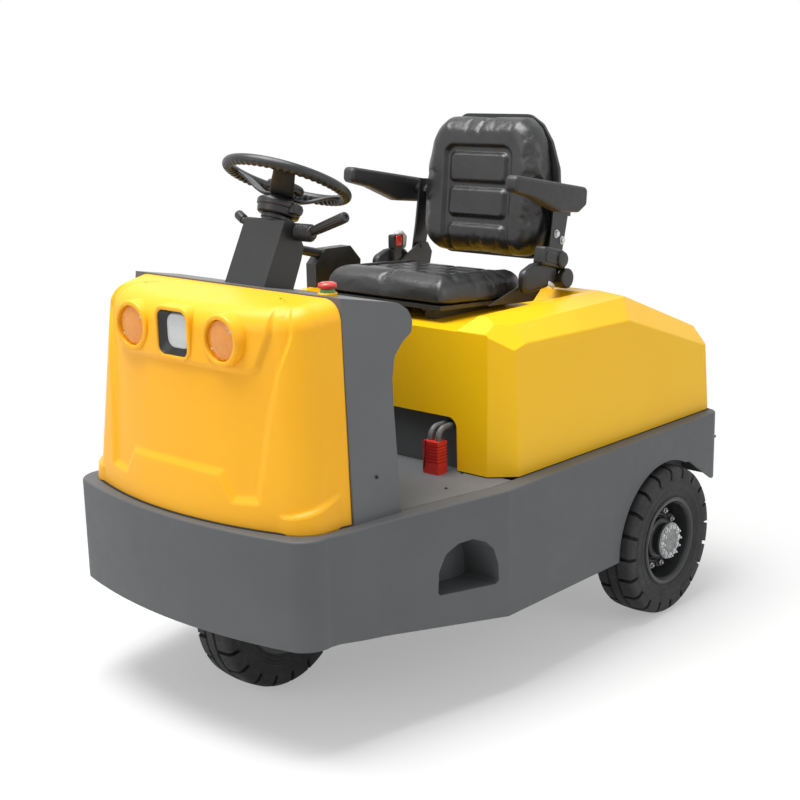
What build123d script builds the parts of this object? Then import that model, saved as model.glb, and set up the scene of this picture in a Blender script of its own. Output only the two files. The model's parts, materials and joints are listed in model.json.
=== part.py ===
from build123d import *
from math import cos, radians, sin
import os

# Electric tow tractor with one steered front wheel and two driven rear wheels.
# Front is -Y, the driver's left is +X, +Z is up, the floor is z = 0.

# Whole machine
FRONT_OVERHANG = 321.0
WHEELBASE = 998.0
REAR_OVERHANG = 286.0
HITCH_REACH = 85.0
LENGTH = FRONT_OVERHANG + WHEELBASE + REAR_OVERHANG + HITCH_REACH
FRONT_Y = -LENGTH / 2
HITCH_END_Y = LENGTH / 2
BODY_REAR_Y = HITCH_END_Y - HITCH_REACH
REAR_AXLE_Y = BODY_REAR_Y - REAR_OVERHANG
FRONT_AXLE_Y = FRONT_Y + FRONT_OVERHANG
HALF_WIDTH = 507.0
DECK_Z = 518.0

# Chassis skirt
SKIRT_Z = 203.0
SKIRT_FRONT_Z = 266.0
CORNER_X = HALF_WIDTH - 109
CORNER_R = 87.0
CORNER_Y = FRONT_Y + CORNER_R
KINK_Y = FRONT_AXLE_Y + 301
KINK_R = 40.0
REAR_CORNER_R = 42.0
SKIRT_WALL = 8.0
SKIRT_EDGE_R = 5.0
RIM_WIDTH = 46.0
DECK_PLATE = 6.0
FRAME_X = HALF_WIDTH - 125
FRAME_WALL = 8.0
STEP_BACK_X = HALF_WIDTH - 111
CROSS_Y = FRONT_AXLE_Y + 226
BULKHEAD_Y = -148.0
BULKHEAD_TOP_Z = 662.0
REAR_WALL_Y = REAR_AXLE_Y - 212

# Wheels
TYRE_R = 207.5
TYRE_WIDTH = 115.0
TYRE_SHOULDER_R = 14.0
BEAD_R = 106.0
RIM_R = 121.0
RIM_SEAT = 46.0
RIM_LIP = 6.0
REAR_WHEEL_X = HALF_WIDTH - 37
LUG_COUNT = 18
LUG_SLOT = 7.0
LUG_DEPTH = 9.0
LUG_REACH = 30.0
ARCH_R = 222.0
HUB_R = 52.0
HUB_DRUM_R = 60.0
HUB_OUT = 56.0
AXLE_R = 20.0
RUNNING = 0.05

# Steering
FORK_PLATE = 14.0
FORK_HALF = 95.0
FORK_CROWN = 16.0
FORK_X = 72.0
FORK_TOP_Z = 446.0
STEER_PIN_R = 30.0
BEARING_R = 85.0
STEER_PLATE_Z = 478.0
STEER_PLATE = 12.0
COLUMN_LEAN = 24.0
DASH_REAR_Y = FRONT_Y + 347
WHEEL_HUB_Y = DASH_REAR_Y + 73
WHEEL_HUB_Z = 1222.0
STEERING_WHEEL_R = 158.0
STEERING_RIM_R = 13.5

# Front cowl and dash tower
COWL_Z = DECK_Z
COWL_WALL = 5.0
COWL_TOP_Z = 1010.0
COWL_REAR_Y = FRONT_Y + 209
COWL_TOP_REAR_Y = COWL_REAR_Y + 25
COWL_HALF = HALF_WIDTH - 106
COWL_LEAN = 47.0
COWL_EDGE_R = 24.0
PANEL_DEPTH = 5.0
LAMP_Y = FRONT_Y + 63
LAMP_Z = 926.0
TURN_LAMP_X = 155.0
TURN_LAMP_R = 46.0
HEADLAMP = (100.0, 98.0)
LAMP_LENGTH = 60.0
LAMP_CLEAR = 1.0
DASH_WALL = 6.0
DASH_NOSE_R = 18.0
SEAM = 1.5

# Rear hood
HOOD_Z = DECK_Z + 3.0
HOOD_WALL = 5.0
HOOD_SIDE_R = 12.0
HOOD_EDGE_R = 4.5
SEAL = 2.7
RECESS_Z = 866.0
HOOD_HALF = HALF_WIDTH - 32
HOOD_REAR_Y = BODY_REAR_Y - 10
HOOD_PIVOT_Y = BODY_REAR_Y + 2
HOOD_PIVOT_Z = 536.0
HINGE_PIN_R = 5.0

# Battery and its leads
BATTERY_Y = (BULKHEAD_Y + 18, REAR_WALL_Y - 22)
BATTERY_TOP_Z = 715.0
PLUG_Y = -214.0
PLUG_TOP_Z = 600.0
PLUG_RIBS = 6
PLUG_RIB_DEPTH = 2.5
CABLE_X = (260.0, 284.0)
CABLE_Z = 630.0
CABLE_R = 7.5

# Seat, in a frame tipped back about its front lower edge
SEAT_Y = -130.0
SEAT_Z = 900.0
SEAT_TILT = 3.5
PAN_HALF = 222.0
RECESS_X = PAN_HALF + 78
BACK_PIVOT_Y = 318.0
BACK_PIVOT_Z = 985.0
BACK_LEAN = 5.5
ARM_PIVOT_Y = 352.0
ARM_PIVOT_Z = 1142.0
PIVOT_R = 8.0
ARM_IN_X = PAN_HALF + 41
ARM_WIDTH = 58.0

# Seat side plate and back side plate, each in its own tipped frame
CHEEK = [(180, 2), (372, 2), (410, 38), (478, 58), (486, 92), (466, 120), (424, 116), (300, 40)]
BACK_PLATE = [(-26, -20), (26, -20), (46, 100), (60, 190), (-6, 190), (-16, 60)]
BACK_PLATE_X = PAN_HALF + 16
BACK_PLATE_WALL = 6.0

# Tow hitch
HITCH_BORE_R = 14.0
TOW_PIN_R = 13.0
JAW_LEVELS = [230.0, 285.0, 340.0]
JAW_PLATE = 14.0
JAW_HALF = 55.0
HITCH_BOLT_X = 148.0
HITCH_BOLT_Z = 120.0
HITCH_BOLT_R = 8.0


# Solids from a drawn outline
def slab(points, z0, z1):
    return extrude(Plane.XY.offset(z0) * make_face(Polyline(*points, close=True)), amount=z1 - z0)


def side_slab(points, x0, x1):
    return extrude(Plane.YZ.offset(x0) * make_face(Polyline(*points, close=True)), amount=x1 - x0)


def front_slab(points, y0, y1):
    return extrude(Plane.XZ.offset(-y0) * make_face(Polyline(*points, close=True)), amount=y0 - y1)


def block(x0, x1, y0, y1, z0, z1):
    return Pos((x0 + x1) / 2, (y0 + y1) / 2, (z0 + z1) / 2) * Box(x1 - x0, y1 - y0, z1 - z0)


def drum_x(x0, x1, y, z, r):
    return Pos((x0 + x1) / 2, y, z) * Rot(Y=90) * Cylinder(r, x1 - x0)


def drum_z(x, y, z0, z1, r):
    return Pos(x, y, (z0 + z1) / 2) * Cylinder(r, z1 - z0)


def rod(start, end, r):
    line = Line(start, end)
    return extrude(Plane(line @ 0, z_dir=line % 0) * Circle(r), amount=line.length)


def trim(solid, p1, p2, p3, inside, inset):
    # Cuts away what lies beyond the plane through three points, moved in by inset.
    p1, p2, p3, inside = Vector(p1), Vector(p2), Vector(p3), Vector(inside)
    normal = (p2 - p1).cross(p3 - p1).normalized()
    if (inside - p1).dot(normal) > 0:
        normal = normal * -1
    return split(solid, bisect_by=Plane(p1 - normal * inset, z_dir=normal), keep=Keep.BOTTOM)


def mirrored(solid):
    return mirror(solid, about=Plane.YZ)


# Chassis
def skirt_outline():
    front = ThreePointArc((-CORNER_X, CORNER_Y), (0, FRONT_Y), (CORNER_X, CORNER_Y))
    sides = Polyline(
        (CORNER_X, CORNER_Y),
        (HALF_WIDTH, KINK_Y),
        (HALF_WIDTH, BODY_REAR_Y),
        (-HALF_WIDTH, BODY_REAR_Y),
        (-HALF_WIDTH, KINK_Y),
        (-CORNER_X, CORNER_Y),
    )
    face = make_face(front + sides)
    face = fillet(face.vertices().sort_by(Axis.Y)[:2], CORNER_R)
    face = fillet(face.vertices().sort_by(Axis.Y)[-2:], REAR_CORNER_R)
    kinks = [v for v in face.vertices() if abs(v.Y - KINK_Y) < 1]
    return fillet(kinks, KINK_R)


def arch_cut():
    # The wheel opening: round in front and on top, running out straight to the rear corner.
    round_part = drum_x(-HALF_WIDTH - 10, HALF_WIDTH + 10, REAR_AXLE_Y, TYRE_R, ARCH_R)
    rear = [
        (REAR_AXLE_Y, SKIRT_Z - 10),
        (BODY_REAR_Y + 10, SKIRT_Z - 10),
        (BODY_REAR_Y + 10, 325.0),
        (BODY_REAR_Y - 40, 325.0),
        (REAR_AXLE_Y + 125, 402.0),
        (REAR_AXLE_Y, 420.0),
    ]
    return round_part + side_slab(rear, -HALF_WIDTH - 10, HALF_WIDTH + 10)


def step_pocket_face(grow):
    # Outline of the step, seen from the side.
    outline = Polyline(
        (93, 314), (100, 307), (262, 295), (272, 302), (270, 345),
        (256, 385), (232, 408), (194, 423), (152, 421), (116, 403), (96, 365),
        close=True,
    )
    face = Pos(FRONT_AXLE_Y, 0) * make_face(outline)
    return offset(face, grow) if grow else face


def step_pocket(grow, x0):
    return extrude(Plane.YZ.offset(x0) * step_pocket_face(grow), amount=140)


def frame_rails():
    points = [
        (CROSS_Y, SKIRT_Z + 12),
        (REAR_AXLE_Y + 130, SKIRT_Z + 12),
        (BODY_REAR_Y - SKIRT_WALL, 330.0),
        (BODY_REAR_Y - SKIRT_WALL, DECK_Z - DECK_PLATE),
        (CROSS_Y, DECK_Z - DECK_PLATE),
    ]
    left = side_slab(points, FRAME_X, FRAME_X + FRAME_WALL)
    return left + mirrored(left)


def chassis():
    plan = skirt_outline()
    inner = offset(plan, -SKIRT_WALL)
    height = DECK_Z - SKIRT_Z
    skirt = extrude(Plane.XY.offset(SKIRT_Z) * plan, amount=height)
    skirt -= extrude(Plane.XY.offset(SKIRT_Z) * inner, amount=height)
    outer_block = extrude(Plane.XY.offset(SKIRT_Z) * inner, amount=height)

    rim = extrude(Plane.XY.offset(DECK_Z - DECK_PLATE) * plan, amount=DECK_PLATE)
    rim -= extrude(Plane.XY.offset(DECK_Z - DECK_PLATE) * offset(plan, -RIM_WIDTH), amount=DECK_PLATE)
    nose = extrude(Plane.XY.offset(DECK_Z - DECK_PLATE) * inner, amount=DECK_PLATE)
    nose &= block(-600, 600, FRONT_Y, DASH_REAR_Y - 2, 0, DECK_Z)
    nose -= block(-120, 120, FRONT_AXLE_Y - 60, FRONT_AXLE_Y + 30, 400, DECK_Z)

    slope = [(FRONT_Y - 55, SKIRT_Z - 5), (FRONT_Y - 55, SKIRT_FRONT_Z)]
    slope += [(FRONT_Y + 144, SKIRT_FRONT_Z), (KINK_Y, SKIRT_Z)]
    slope += [(KINK_Y, SKIRT_Z - 5)]
    skirt -= side_slab(slope, -600, 600)
    skirt -= block(-600, 600, BODY_REAR_Y - 60, BODY_REAR_Y + 10, 0, 325)

    steer_plate = block(-600, 600, FRONT_Y + 85, CROSS_Y + 8, STEER_PLATE_Z, STEER_PLATE_Z + STEER_PLATE)
    steer_plate &= outer_block
    steer_plate -= drum_z(0, FRONT_AXLE_Y, 400, 520, STEER_PIN_R + 8)
    cross = block(-600, 600, CROSS_Y, CROSS_Y + 8, 300, DECK_Z - DECK_PLATE) & outer_block
    bulkhead = block(-FRAME_X, FRAME_X, BULKHEAD_Y, BULKHEAD_Y + 8, SKIRT_Z + 12, BULKHEAD_TOP_Z)
    for x in CABLE_X:
        bulkhead -= Pos(x, BULKHEAD_Y + 4, CABLE_Z) * Rot(X=90) * Cylinder(CABLE_R + 1, 20)
    tray = block(-FRAME_X, FRAME_X, BULKHEAD_Y, REAR_WALL_Y, SKIRT_Z + 12, SKIRT_Z + 20)
    rear_wall = block(-FRAME_X, FRAME_X, REAR_WALL_Y - 8, REAR_WALL_Y, SKIRT_Z + 12, DECK_Z - DECK_PLATE)
    hitch_plate = block(-FRAME_X, FRAME_X, BODY_REAR_Y - 18, BODY_REAR_Y, 330, 500)
    hitch_plate += block(-110, 110, BODY_REAR_Y - 18, BODY_REAR_Y, JAW_LEVELS[0] - 14, 340)
    cover = block(FRAME_X, HALF_WIDTH - 4, REAR_AXLE_Y - 234, BODY_REAR_Y - 15, 440, 446)
    cover += mirrored(cover)

    body = skirt + rim + nose + steer_plate + cross + frame_rails()
    body += bulkhead + tray + rear_wall + cover
    body -= arch_cut() - block(-FRAME_X - FRAME_WALL, FRAME_X + FRAME_WALL, -900, 900, 0, 600)
    body += hitch_plate
    body -= hitch_bolts(HITCH_BOLT_R, BODY_REAR_Y - 30, BODY_REAR_Y + 1)
    body -= drum_x(-FRAME_X - 20, FRAME_X + 20, REAR_AXLE_Y, TYRE_R, 52)
    pocket = step_pocket(4, STEP_BACK_X - 4) & outer_block
    pocket = pocket + mirrored(pocket)
    hollow = step_pocket(0, STEP_BACK_X)
    hollow = hollow + mirrored(hollow)
    edge = extrude(Plane.XY.offset(SKIRT_Z) * offset(plan, -SKIRT_WALL / 2), amount=height)
    body += pocket & edge
    block_form = extrude(Plane.XY.offset(SKIRT_Z) * plan, amount=height)
    body -= block_form - fillet(block_form.edges().group_by(Axis.Z)[-1], SKIRT_EDGE_R)
    return body - hollow


def floor_plate():
    plan = offset(skirt_outline(), -RIM_WIDTH - SEAM)
    plate = extrude(Plane.XY.offset(DECK_Z - DECK_PLATE) * plan, amount=DECK_PLATE)
    return plate & block(-600, 600, DASH_REAR_Y - 2 + SEAM, BULKHEAD_Y - 2 - SEAM, 0, 600)


# Wheels and axles, built round the X axis and moved into place
def tyre():
    # Solid tyre with one flat of the tread for each slot of its two shoulders.
    half = TYRE_WIDTH / 2
    flats = 2 * LUG_COUNT
    body = extrude(Plane.XY.offset(-half) * RegularPolygon(TYRE_R, flats), amount=TYRE_WIDTH)
    ends = body.edges().group_by(Axis.Z)
    body = chamfer(ends[0] + ends[-1], TYRE_SHOULDER_R)
    lip_room = extrude(Plane.XY.offset(RIM_SEAT) * RegularPolygon(RIM_R + 1.5, flats), amount=half - RIM_SEAT)
    body -= lip_room + mirror(lip_room, about=Plane.XY) + Cylinder(BEAD_R, TYRE_WIDTH + 2)
    slot = Pos(TYRE_R, 0, half - LUG_REACH / 2) * Box(2 * LUG_DEPTH, LUG_SLOT, LUG_REACH + 1)
    flat = 180 / LUG_COUNT
    for i in range(LUG_COUNT):
        body -= Rot(Z=(2 * i + 0.5) * flat) * slot
        body -= Rot(Z=(2 * i + 1.5) * flat) * mirror(slot, about=Plane.XY)
    return Rot(Y=90) * body


def rim(hub):
    # Steel rim turned from one section with its dish and hub; the outside of the wheel is +X.
    lip = RIM_SEAT + RIM_LIP
    well = BEAD_R - 6
    barrel = [
        (well, -lip), (RIM_R, -lip), (RIM_R, -RIM_SEAT), (BEAD_R, -RIM_SEAT),
        (BEAD_R, RIM_SEAT), (RIM_R, RIM_SEAT), (RIM_R, lip), (well, lip),
    ]
    inner, outer = hub
    section = make_face(Polyline(*inner, *barrel, *outer, close=True))
    return Rot(Y=90) * revolve(Plane.XZ * section, Axis.Z)


def front_hub():
    # Radius and height of the hub's section below and above the barrel.
    bore = AXLE_R + RUNNING
    inner = [(bore, -60), (40, -60), (44, -10), (BEAD_R - 6, -4)]
    outer = [(BEAD_R - 6, 4), (44, 10), (40, 60), (bore, 60)]
    return inner, outer


def rear_hub():
    # The driven hub: a drum in a deep dish, a neck, and the bolted end flange.
    bore = AXLE_R + RUNNING
    inner = [(bore, -40), (HUB_DRUM_R, -40), (HUB_DRUM_R, 0), (BEAD_R - 6, -10)]
    outer = [(BEAD_R - 6, -2), (HUB_DRUM_R + 4, 8), (HUB_DRUM_R, 24), (HUB_R - 6, 30)]
    outer += [(HUB_R - 6, HUB_OUT - 12), (HUB_R, HUB_OUT - 11), (HUB_R, HUB_OUT), (bore, HUB_OUT)]
    return inner, outer


def steer_fork():
    ends = [
        (FRONT_AXLE_Y - FORK_HALF, FORK_TOP_Z),
        (FRONT_AXLE_Y - 40, TYRE_R - 34),
        (FRONT_AXLE_Y + 40, TYRE_R - 34),
        (FRONT_AXLE_Y + FORK_HALF, FORK_TOP_Z),
    ]
    cheek = side_slab(ends, FORK_X, FORK_X + FORK_PLATE)
    fork = cheek + mirrored(cheek)
    reach = FORK_X + FORK_PLATE
    front, rear = FRONT_AXLE_Y - FORK_HALF, FRONT_AXLE_Y + FORK_HALF
    fork += block(-reach, reach, front, rear, FORK_TOP_Z - FORK_CROWN, FORK_TOP_Z)
    fork += drum_z(0, FRONT_AXLE_Y, FORK_TOP_Z, STEER_PLATE_Z + STEER_PLATE + 14, STEER_PIN_R)
    return fork - drum_x(-120, 120, FRONT_AXLE_Y, TYRE_R, AXLE_R)


def steer_bearing():
    ring = drum_z(0, FRONT_AXLE_Y, FORK_TOP_Z + 5, STEER_PLATE_Z, BEARING_R)
    ring += drum_z(0, FRONT_AXLE_Y, STEER_PLATE_Z, STEER_PLATE_Z + STEER_PLATE, STEER_PIN_R + 8)
    return ring - drum_z(0, FRONT_AXLE_Y, 400, 540, STEER_PIN_R + RUNNING)


def front_axle_pin():
    reach = FORK_X + FORK_PLATE
    pin = drum_x(-reach, reach, FRONT_AXLE_Y, TYRE_R, AXLE_R)
    pin += drum_x(reach, reach + 10, FRONT_AXLE_Y, TYRE_R, AXLE_R + 8)
    return pin + drum_x(-reach - 10, -reach, FRONT_AXLE_Y, TYRE_R, AXLE_R + 8)


def rear_axle():
    reach = REAR_WHEEL_X + 40
    axle = drum_x(-FRAME_X + 10, FRAME_X - 10, REAR_AXLE_Y, TYRE_R, 45)
    axle += drum_x(-FRAME_X - FRAME_WALL - 12, FRAME_X + FRAME_WALL + 12, REAR_AXLE_Y, TYRE_R, 52)
    axle += drum_x(-reach, reach, REAR_AXLE_Y, TYRE_R, AXLE_R)
    return axle + drum_x(-75, 75, REAR_AXLE_Y, TYRE_R, 105)


def drive_motor():
    motor = Pos(0, REAR_AXLE_Y - 155, TYRE_R + 30) * Rot(X=90) * Cylinder(80, 90)
    neck = block(-45, 45, REAR_AXLE_Y - 115, REAR_AXLE_Y - 70, TYRE_R - 35, TYRE_R + 55)
    return motor + (neck - drum_x(-75, 75, REAR_AXLE_Y, TYRE_R, 105))


# Tow hitch
def hitch_bolts(r, y0, y1):
    holes = None
    for x in (-HITCH_BOLT_X / 2, HITCH_BOLT_X / 2):
        for z in (-HITCH_BOLT_Z / 2, HITCH_BOLT_Z / 2):
            hole = Pos(x, (y0 + y1) / 2, JAW_LEVELS[1] + 20 + z) * Rot(X=90) * Cylinder(r, y1 - y0)
            holes = hole if holes is None else holes + hole
    return holes


def hitch_bracket():
    pin_y = HITCH_END_Y - 32
    foot, head = JAW_LEVELS[0] - 14, JAW_LEVELS[-1] + 40
    bracket = block(-90, 90, BODY_REAR_Y, BODY_REAR_Y + 14, foot, head)
    for z in JAW_LEVELS:
        jaw = block(-JAW_HALF, JAW_HALF, BODY_REAR_Y + 10, pin_y, z, z + JAW_PLATE)
        jaw += drum_z(0, pin_y, z, z + JAW_PLATE, 32)
        jaw &= block(-JAW_HALF, JAW_HALF, BODY_REAR_Y, HITCH_END_Y, 200, 500)
        bracket += jaw
    for x in (-JAW_HALF, JAW_HALF - 8):
        bracket += block(x, x + 8, BODY_REAR_Y + 10, BODY_REAR_Y + 24, JAW_LEVELS[0], JAW_LEVELS[-1] + JAW_PLATE)
    bracket -= drum_z(0, pin_y, 200, 500, HITCH_BORE_R)
    return bracket - hitch_bolts(HITCH_BOLT_R, BODY_REAR_Y - 1, BODY_REAR_Y + 30)


def tow_pin():
    pin_y = HITCH_END_Y - 32
    top = JAW_LEVELS[-1] + JAW_PLATE
    pin = drum_z(0, pin_y, JAW_LEVELS[0] - 10, top + 1, TOW_PIN_R)
    pin += drum_z(0, pin_y, top + 0.5, top + 10, 22)
    return pin + drum_z(0, pin_y, top + 9, top + 60, 7) + Pos(0, pin_y, top + 62) * Sphere(16)


# Front cowl and dash
def cowl_section(z, inset):
    # Plan of the cowl at one height, leaning in as it rises.
    t = (z - DECK_Z) / (COWL_TOP_Z - DECK_Z)
    half = COWL_HALF - COWL_LEAN * t - inset
    front = FRONT_Y + 22 + 46 * t + inset
    rear = COWL_REAR_Y + 25 * t
    bulge = 52 - 8 * t
    side_y = front + bulge + 70
    nose_x = half - 62
    corner = half - 20, front + bulge + 17
    points = Line((-half, rear), (half, rear)) + Line((half, rear), (half, side_y))
    points += ThreePointArc((half, side_y), corner, (nose_x, front + bulge - 9))
    points += ThreePointArc((nose_x, front + bulge - 9), (0, front), (-nose_x, front + bulge - 9))
    points += ThreePointArc((-nose_x, front + bulge - 9), (-corner[0], corner[1]), (-half, side_y))
    points += Line((-half, side_y), (-half, rear))
    return Plane.XY.offset(z) * make_face(points)


def cowl_form(inset):
    form = loft([cowl_section(COWL_Z - inset, inset), cowl_section(COWL_TOP_Z + 10, inset)], ruled=True)
    front_y, front_z = COWL_TOP_REAR_Y - 166, COWL_TOP_Z - 19
    top = [(0, COWL_TOP_REAR_Y, COWL_TOP_Z), (100, COWL_TOP_REAR_Y, COWL_TOP_Z), (0, front_y, front_z)]
    form = trim(form, *top, (0, COWL_TOP_REAR_Y - 89, 700), inset)
    rim_edges = [e for e in form.edges() if e.center().Z > COWL_TOP_Z - 40 and e.center().Y < COWL_REAR_Y]
    return form.fillet(COWL_EDGE_R - inset, rim_edges)


def cowl_panel(grow):
    # Outline of the sunken panel round the lamps, seen from the front.
    half = [(150, 632), (190, 575), (254, 577), (268, 680), (277, 768), (292, 857), (314, 930), (272, 955)]
    half += [(240, 872), (222, 862)]
    outline = half + [(-x, z) for x, z in reversed(half)]
    face = offset(make_face(Polyline(*outline, close=True)), grow) if grow else make_face(Polyline(*outline, close=True))
    return extrude(Plane.XZ.offset(-COWL_REAR_Y) * face, amount=240)


def cowl_skin(inset):
    return cowl_form(inset) - (cowl_panel(inset) - cowl_form(PANEL_DEPTH + inset))


def lamp_form(x, clear, length):
    # A round turn lamp at the side, or the square headlamp in the middle.
    if x:
        body = Cylinder(TURN_LAMP_R - clear, length)
    else:
        width, height = HEADLAMP
        body = Box(width - 2 * clear, height - 2 * clear, length)
        body = fillet(body.edges().filter_by(Axis.Z), 16)
    return body


def lamp_openings():
    cut = None
    for x in (-TURN_LAMP_X, 0, TURN_LAMP_X):
        hole = Pos(x, LAMP_Y, LAMP_Z) * Rot(X=90) * lamp_form(x, 0, 160)
        cut = hole if cut is None else cut + hole
    return cut


def front_cowl():
    shell = cowl_skin(0) - cowl_skin(COWL_WALL)
    rear = block(-500, 500, COWL_REAR_Y - 24, COWL_REAR_Y + 36, DECK_Z, COWL_TOP_Z - 12)
    shell -= rear & cowl_form(COWL_WALL - 0.01)
    return shell - lamp_openings()


def lamp(x):
    body = lamp_form(x, LAMP_CLEAR, LAMP_LENGTH)
    body = fillet(body.edges().group_by(Axis.Z)[-1], 5)
    return Pos(x, LAMP_Y + LAMP_LENGTH / 2, LAMP_Z) * Rot(X=90) * body


def dash_profile(inset):
    p = inset
    rear = DASH_REAR_Y
    return [
        (COWL_REAR_Y + SEAM, DECK_Z + p), (COWL_TOP_REAR_Y + SEAM, 1014 - p),
        (rear + 50 - p * 0.4, 984 - p), (rear + 76 - p, 966 - p * 0.4), (rear + 87 - p, 940),
        (rear + 80 - p, 914 + p * 0.5), (rear + 52 - p, 897 + p * 0.3), (rear + 24 - p, 868),
        (rear + 12 - p, 822), (rear + 8 - p, 765), (rear + 4 - p, 635), (rear - p, DECK_Z + p),
    ]


def dash_form(inset):
    form = side_slab(dash_profile(inset), -COWL_HALF - 60, COWL_HALF + 60)
    for s in (-1, 1):
        foot = (s * COWL_HALF, COWL_REAR_Y, DECK_Z)
        side = [foot, (s * (COWL_HALF + 15), DASH_REAR_Y, DECK_Z), (s * (COWL_HALF - 47), COWL_TOP_REAR_Y, 1010)]
        form = trim(form, *side, (0, COWL_REAR_Y + 76, 700), inset)
    nose = [e for e in form.edges().filter_by(Axis.X) if e.center().Y > DASH_REAR_Y + 20]
    return form.fillet(DASH_NOSE_R - inset, nose)


def dash_tower():
    return dash_form(0) - dash_form(DASH_WALL) - column_form(0.5)


# Steering column and what stands on the dash
def column_form(grow):
    profile = [(-74, 1000), (4, 1154), (32, 1148), (61, 1085), (51, 1055), (20, 985)]
    face = Pos(DASH_REAR_Y, 0) * make_face(Polyline(*profile, close=True))
    face = offset(face, grow) if grow else face
    return extrude(Plane.YZ.offset(-68 - grow) * face, amount=136 + 2 * grow)


def steering_column():
    column = fillet(column_form(0).edges().filter_by(Axis.X).group_by(Axis.Z)[-1], 8)
    axis = Vector(0, sin(radians(COLUMN_LEAN)), cos(radians(COLUMN_LEAN)))
    hub = Vector(0, WHEEL_HUB_Y, WHEEL_HUB_Z)
    column += rod(hub - axis * 95, hub - axis * 36, 27)
    return column + rod(hub - axis * 60, hub - axis * 36, 33)


def steering_wheel():
    ring = Torus(STEERING_WHEEL_R - STEERING_RIM_R, STEERING_RIM_R)
    wheel = ring + Pos(0, 0, -20) * Cylinder(32, 28)
    for angle in (-90, 30, 150):
        spoke = Pos(STEERING_WHEEL_R / 2 - 4, 0, -10) * Box(STEERING_WHEEL_R - 22, 38, 7)
        wheel += Rot(Z=angle) * Rot(Y=-4) * spoke
    return Pos(0, WHEEL_HUB_Y, WHEEL_HUB_Z) * Rot(X=-COLUMN_LEAN) * wheel


def direction_lever():
    y = DASH_REAR_Y
    boot = rod((60, y + 42, 1104), (108, y + 50, 1132), 16)
    return boot + rod((100, y + 49, 1128), (205, y + 60, 1168), 12) - column_form(0)


def signal_stalk():
    y = DASH_REAR_Y
    stalk = rod((-62, y + 39, 1109), (-118, y + 46, 1138), 8)
    return stalk + rod((-112, y + 45, 1134), (-150, y + 49, 1154), 12) - column_form(0)


def stop_button():
    foot = (262, DASH_REAR_Y - 58)
    base = drum_z(*foot, 1000, 1012, 22) - dash_form(0)
    return base + drum_z(*foot, 1011, 1022, 14) + drum_z(*foot, 1021, 1034, 21)


def pedal(x, width, reach):
    root = DASH_REAR_Y + 24
    tip = root + reach
    stem = block(x - 9, x + 9, DASH_REAR_Y + 2.1, root + 4, 560, 578)
    arm = side_slab([(root, 560), (tip, 548), (tip, 558), (root, 578)], x - 9, x + 9)
    outline = [(tip, 538), (tip + 8, 542), (tip - 26, 618), (tip - 34, 614)]
    pad = side_slab(outline, x - width / 2, x + width / 2)
    return stem + arm + pad


# Battery and its plug
def battery():
    return block(-300, 300, *BATTERY_Y, SKIRT_Z + 20, BATTERY_TOP_Z)


def battery_plug():
    # Two-pole plug with finger grooves round its upper half.
    x0, x1 = CABLE_X[0] - 12, CABLE_X[1] + 12
    body = block(x0, x1, PLUG_Y - 18, PLUG_Y + 18, DECK_Z, PLUG_TOP_Z)
    core = block(
        x0 + PLUG_RIB_DEPTH, x1 - PLUG_RIB_DEPTH,
        PLUG_Y - 18 + PLUG_RIB_DEPTH, PLUG_Y + 18 - PLUG_RIB_DEPTH, DECK_Z, PLUG_TOP_Z,
    )
    for i in range(PLUG_RIBS):
        z = PLUG_TOP_Z - 10 - 8 * i
        body -= block(x0, x1, PLUG_Y - 18, PLUG_Y + 18, z - 3, z) - core
    return body


def battery_cables():
    # Two stiff leads that loop from the plug's top back through the bulkhead.
    cables = None
    for x in CABLE_X:
        rise = Line((x, PLUG_Y, PLUG_TOP_Z), (x, PLUG_Y, PLUG_TOP_Z + 5))
        bend = TangentArc(rise @ 1, (x, PLUG_Y + 25, CABLE_Z), tangent=rise % 1)
        path = rise + bend + Line(bend @ 1, (x, BATTERY_Y[0], CABLE_Z))
        lead = sweep(Plane(rise @ 0, z_dir=(0, 0, 1)) * Circle(CABLE_R), path)
        cables = lead if cables is None else cables + lead
    return cables


# Rear hood
def hood_facets(s):
    # Three points on each plane of one side of the hood.
    half = HOOD_HALF
    rear = HOOD_REAR_Y
    return [
        [(s * (half - 12), -124, 518), (s * half, rear, 518), (s * (half - 21), 404, 834)],
        [(s * (half - 70), -176, 518), (s * (half - 12), -124, 518), (s * (half - 23), -116, 834)],
        [(s * (half - 75), -66, 883), (s * (half - 75), 393, 880), (s * (half - 23), 404, 832)],
        [(s * (half - 75), 410, 880), (s * (half - 50), rear, 748), (s * (half - 3), rear, 692)],
        [(s * (half - 75), -66, 881), (s * (half - 75), 393, 880), (s * (half - 130), 100, 896)],
        [(s * (half - 75), -66, 883), (s * (half - 25), -76, 837), (s * (half - 70), -158, 858)],
    ]


def hood_form(inset):
    form = block(-HOOD_HALF - 5, HOOD_HALF + 5, -180, BODY_REAR_Y, HOOD_Z - inset, 896)
    facets = hood_facets(-1) + hood_facets(1)
    facets += [
        [(0, -176, 518), (405, -176, 518), (0, -162, 868)],
        [(0, -163, 868), (300, -163, 868), (0, -95, 896)],
        [(0, 388, 896), (300, 388, 896), (0, HOOD_REAR_Y, 752)],
        [(0, HOOD_REAR_Y, 518), (300, HOOD_REAR_Y, 518), (0, HOOD_REAR_Y - 7, 752)],
    ]
    for facet in facets:
        form = trim(form, *facet, (0, 200, 600), inset)
    return trim(form, (0, 0, 896), (9, 0, 896), (0, 9, 896), (0, 200, 600), inset)


def seat_recess(grow):
    # The sunken floor under the seat, open to the front.
    g = grow
    section = [
        (-RECESS_X - g, RECESS_Z - g), (RECESS_X + g, RECESS_Z - g),
        (RECESS_X + 38 + g, 930), (-RECESS_X - 38 - g, 930),
    ]
    cut = front_slab(section, -250, 400)
    return trim(cut, (0, 312, RECESS_Z), (9, 312, RECESS_Z), (0, 340, 896), (0, 0, 900), -g)


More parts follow.
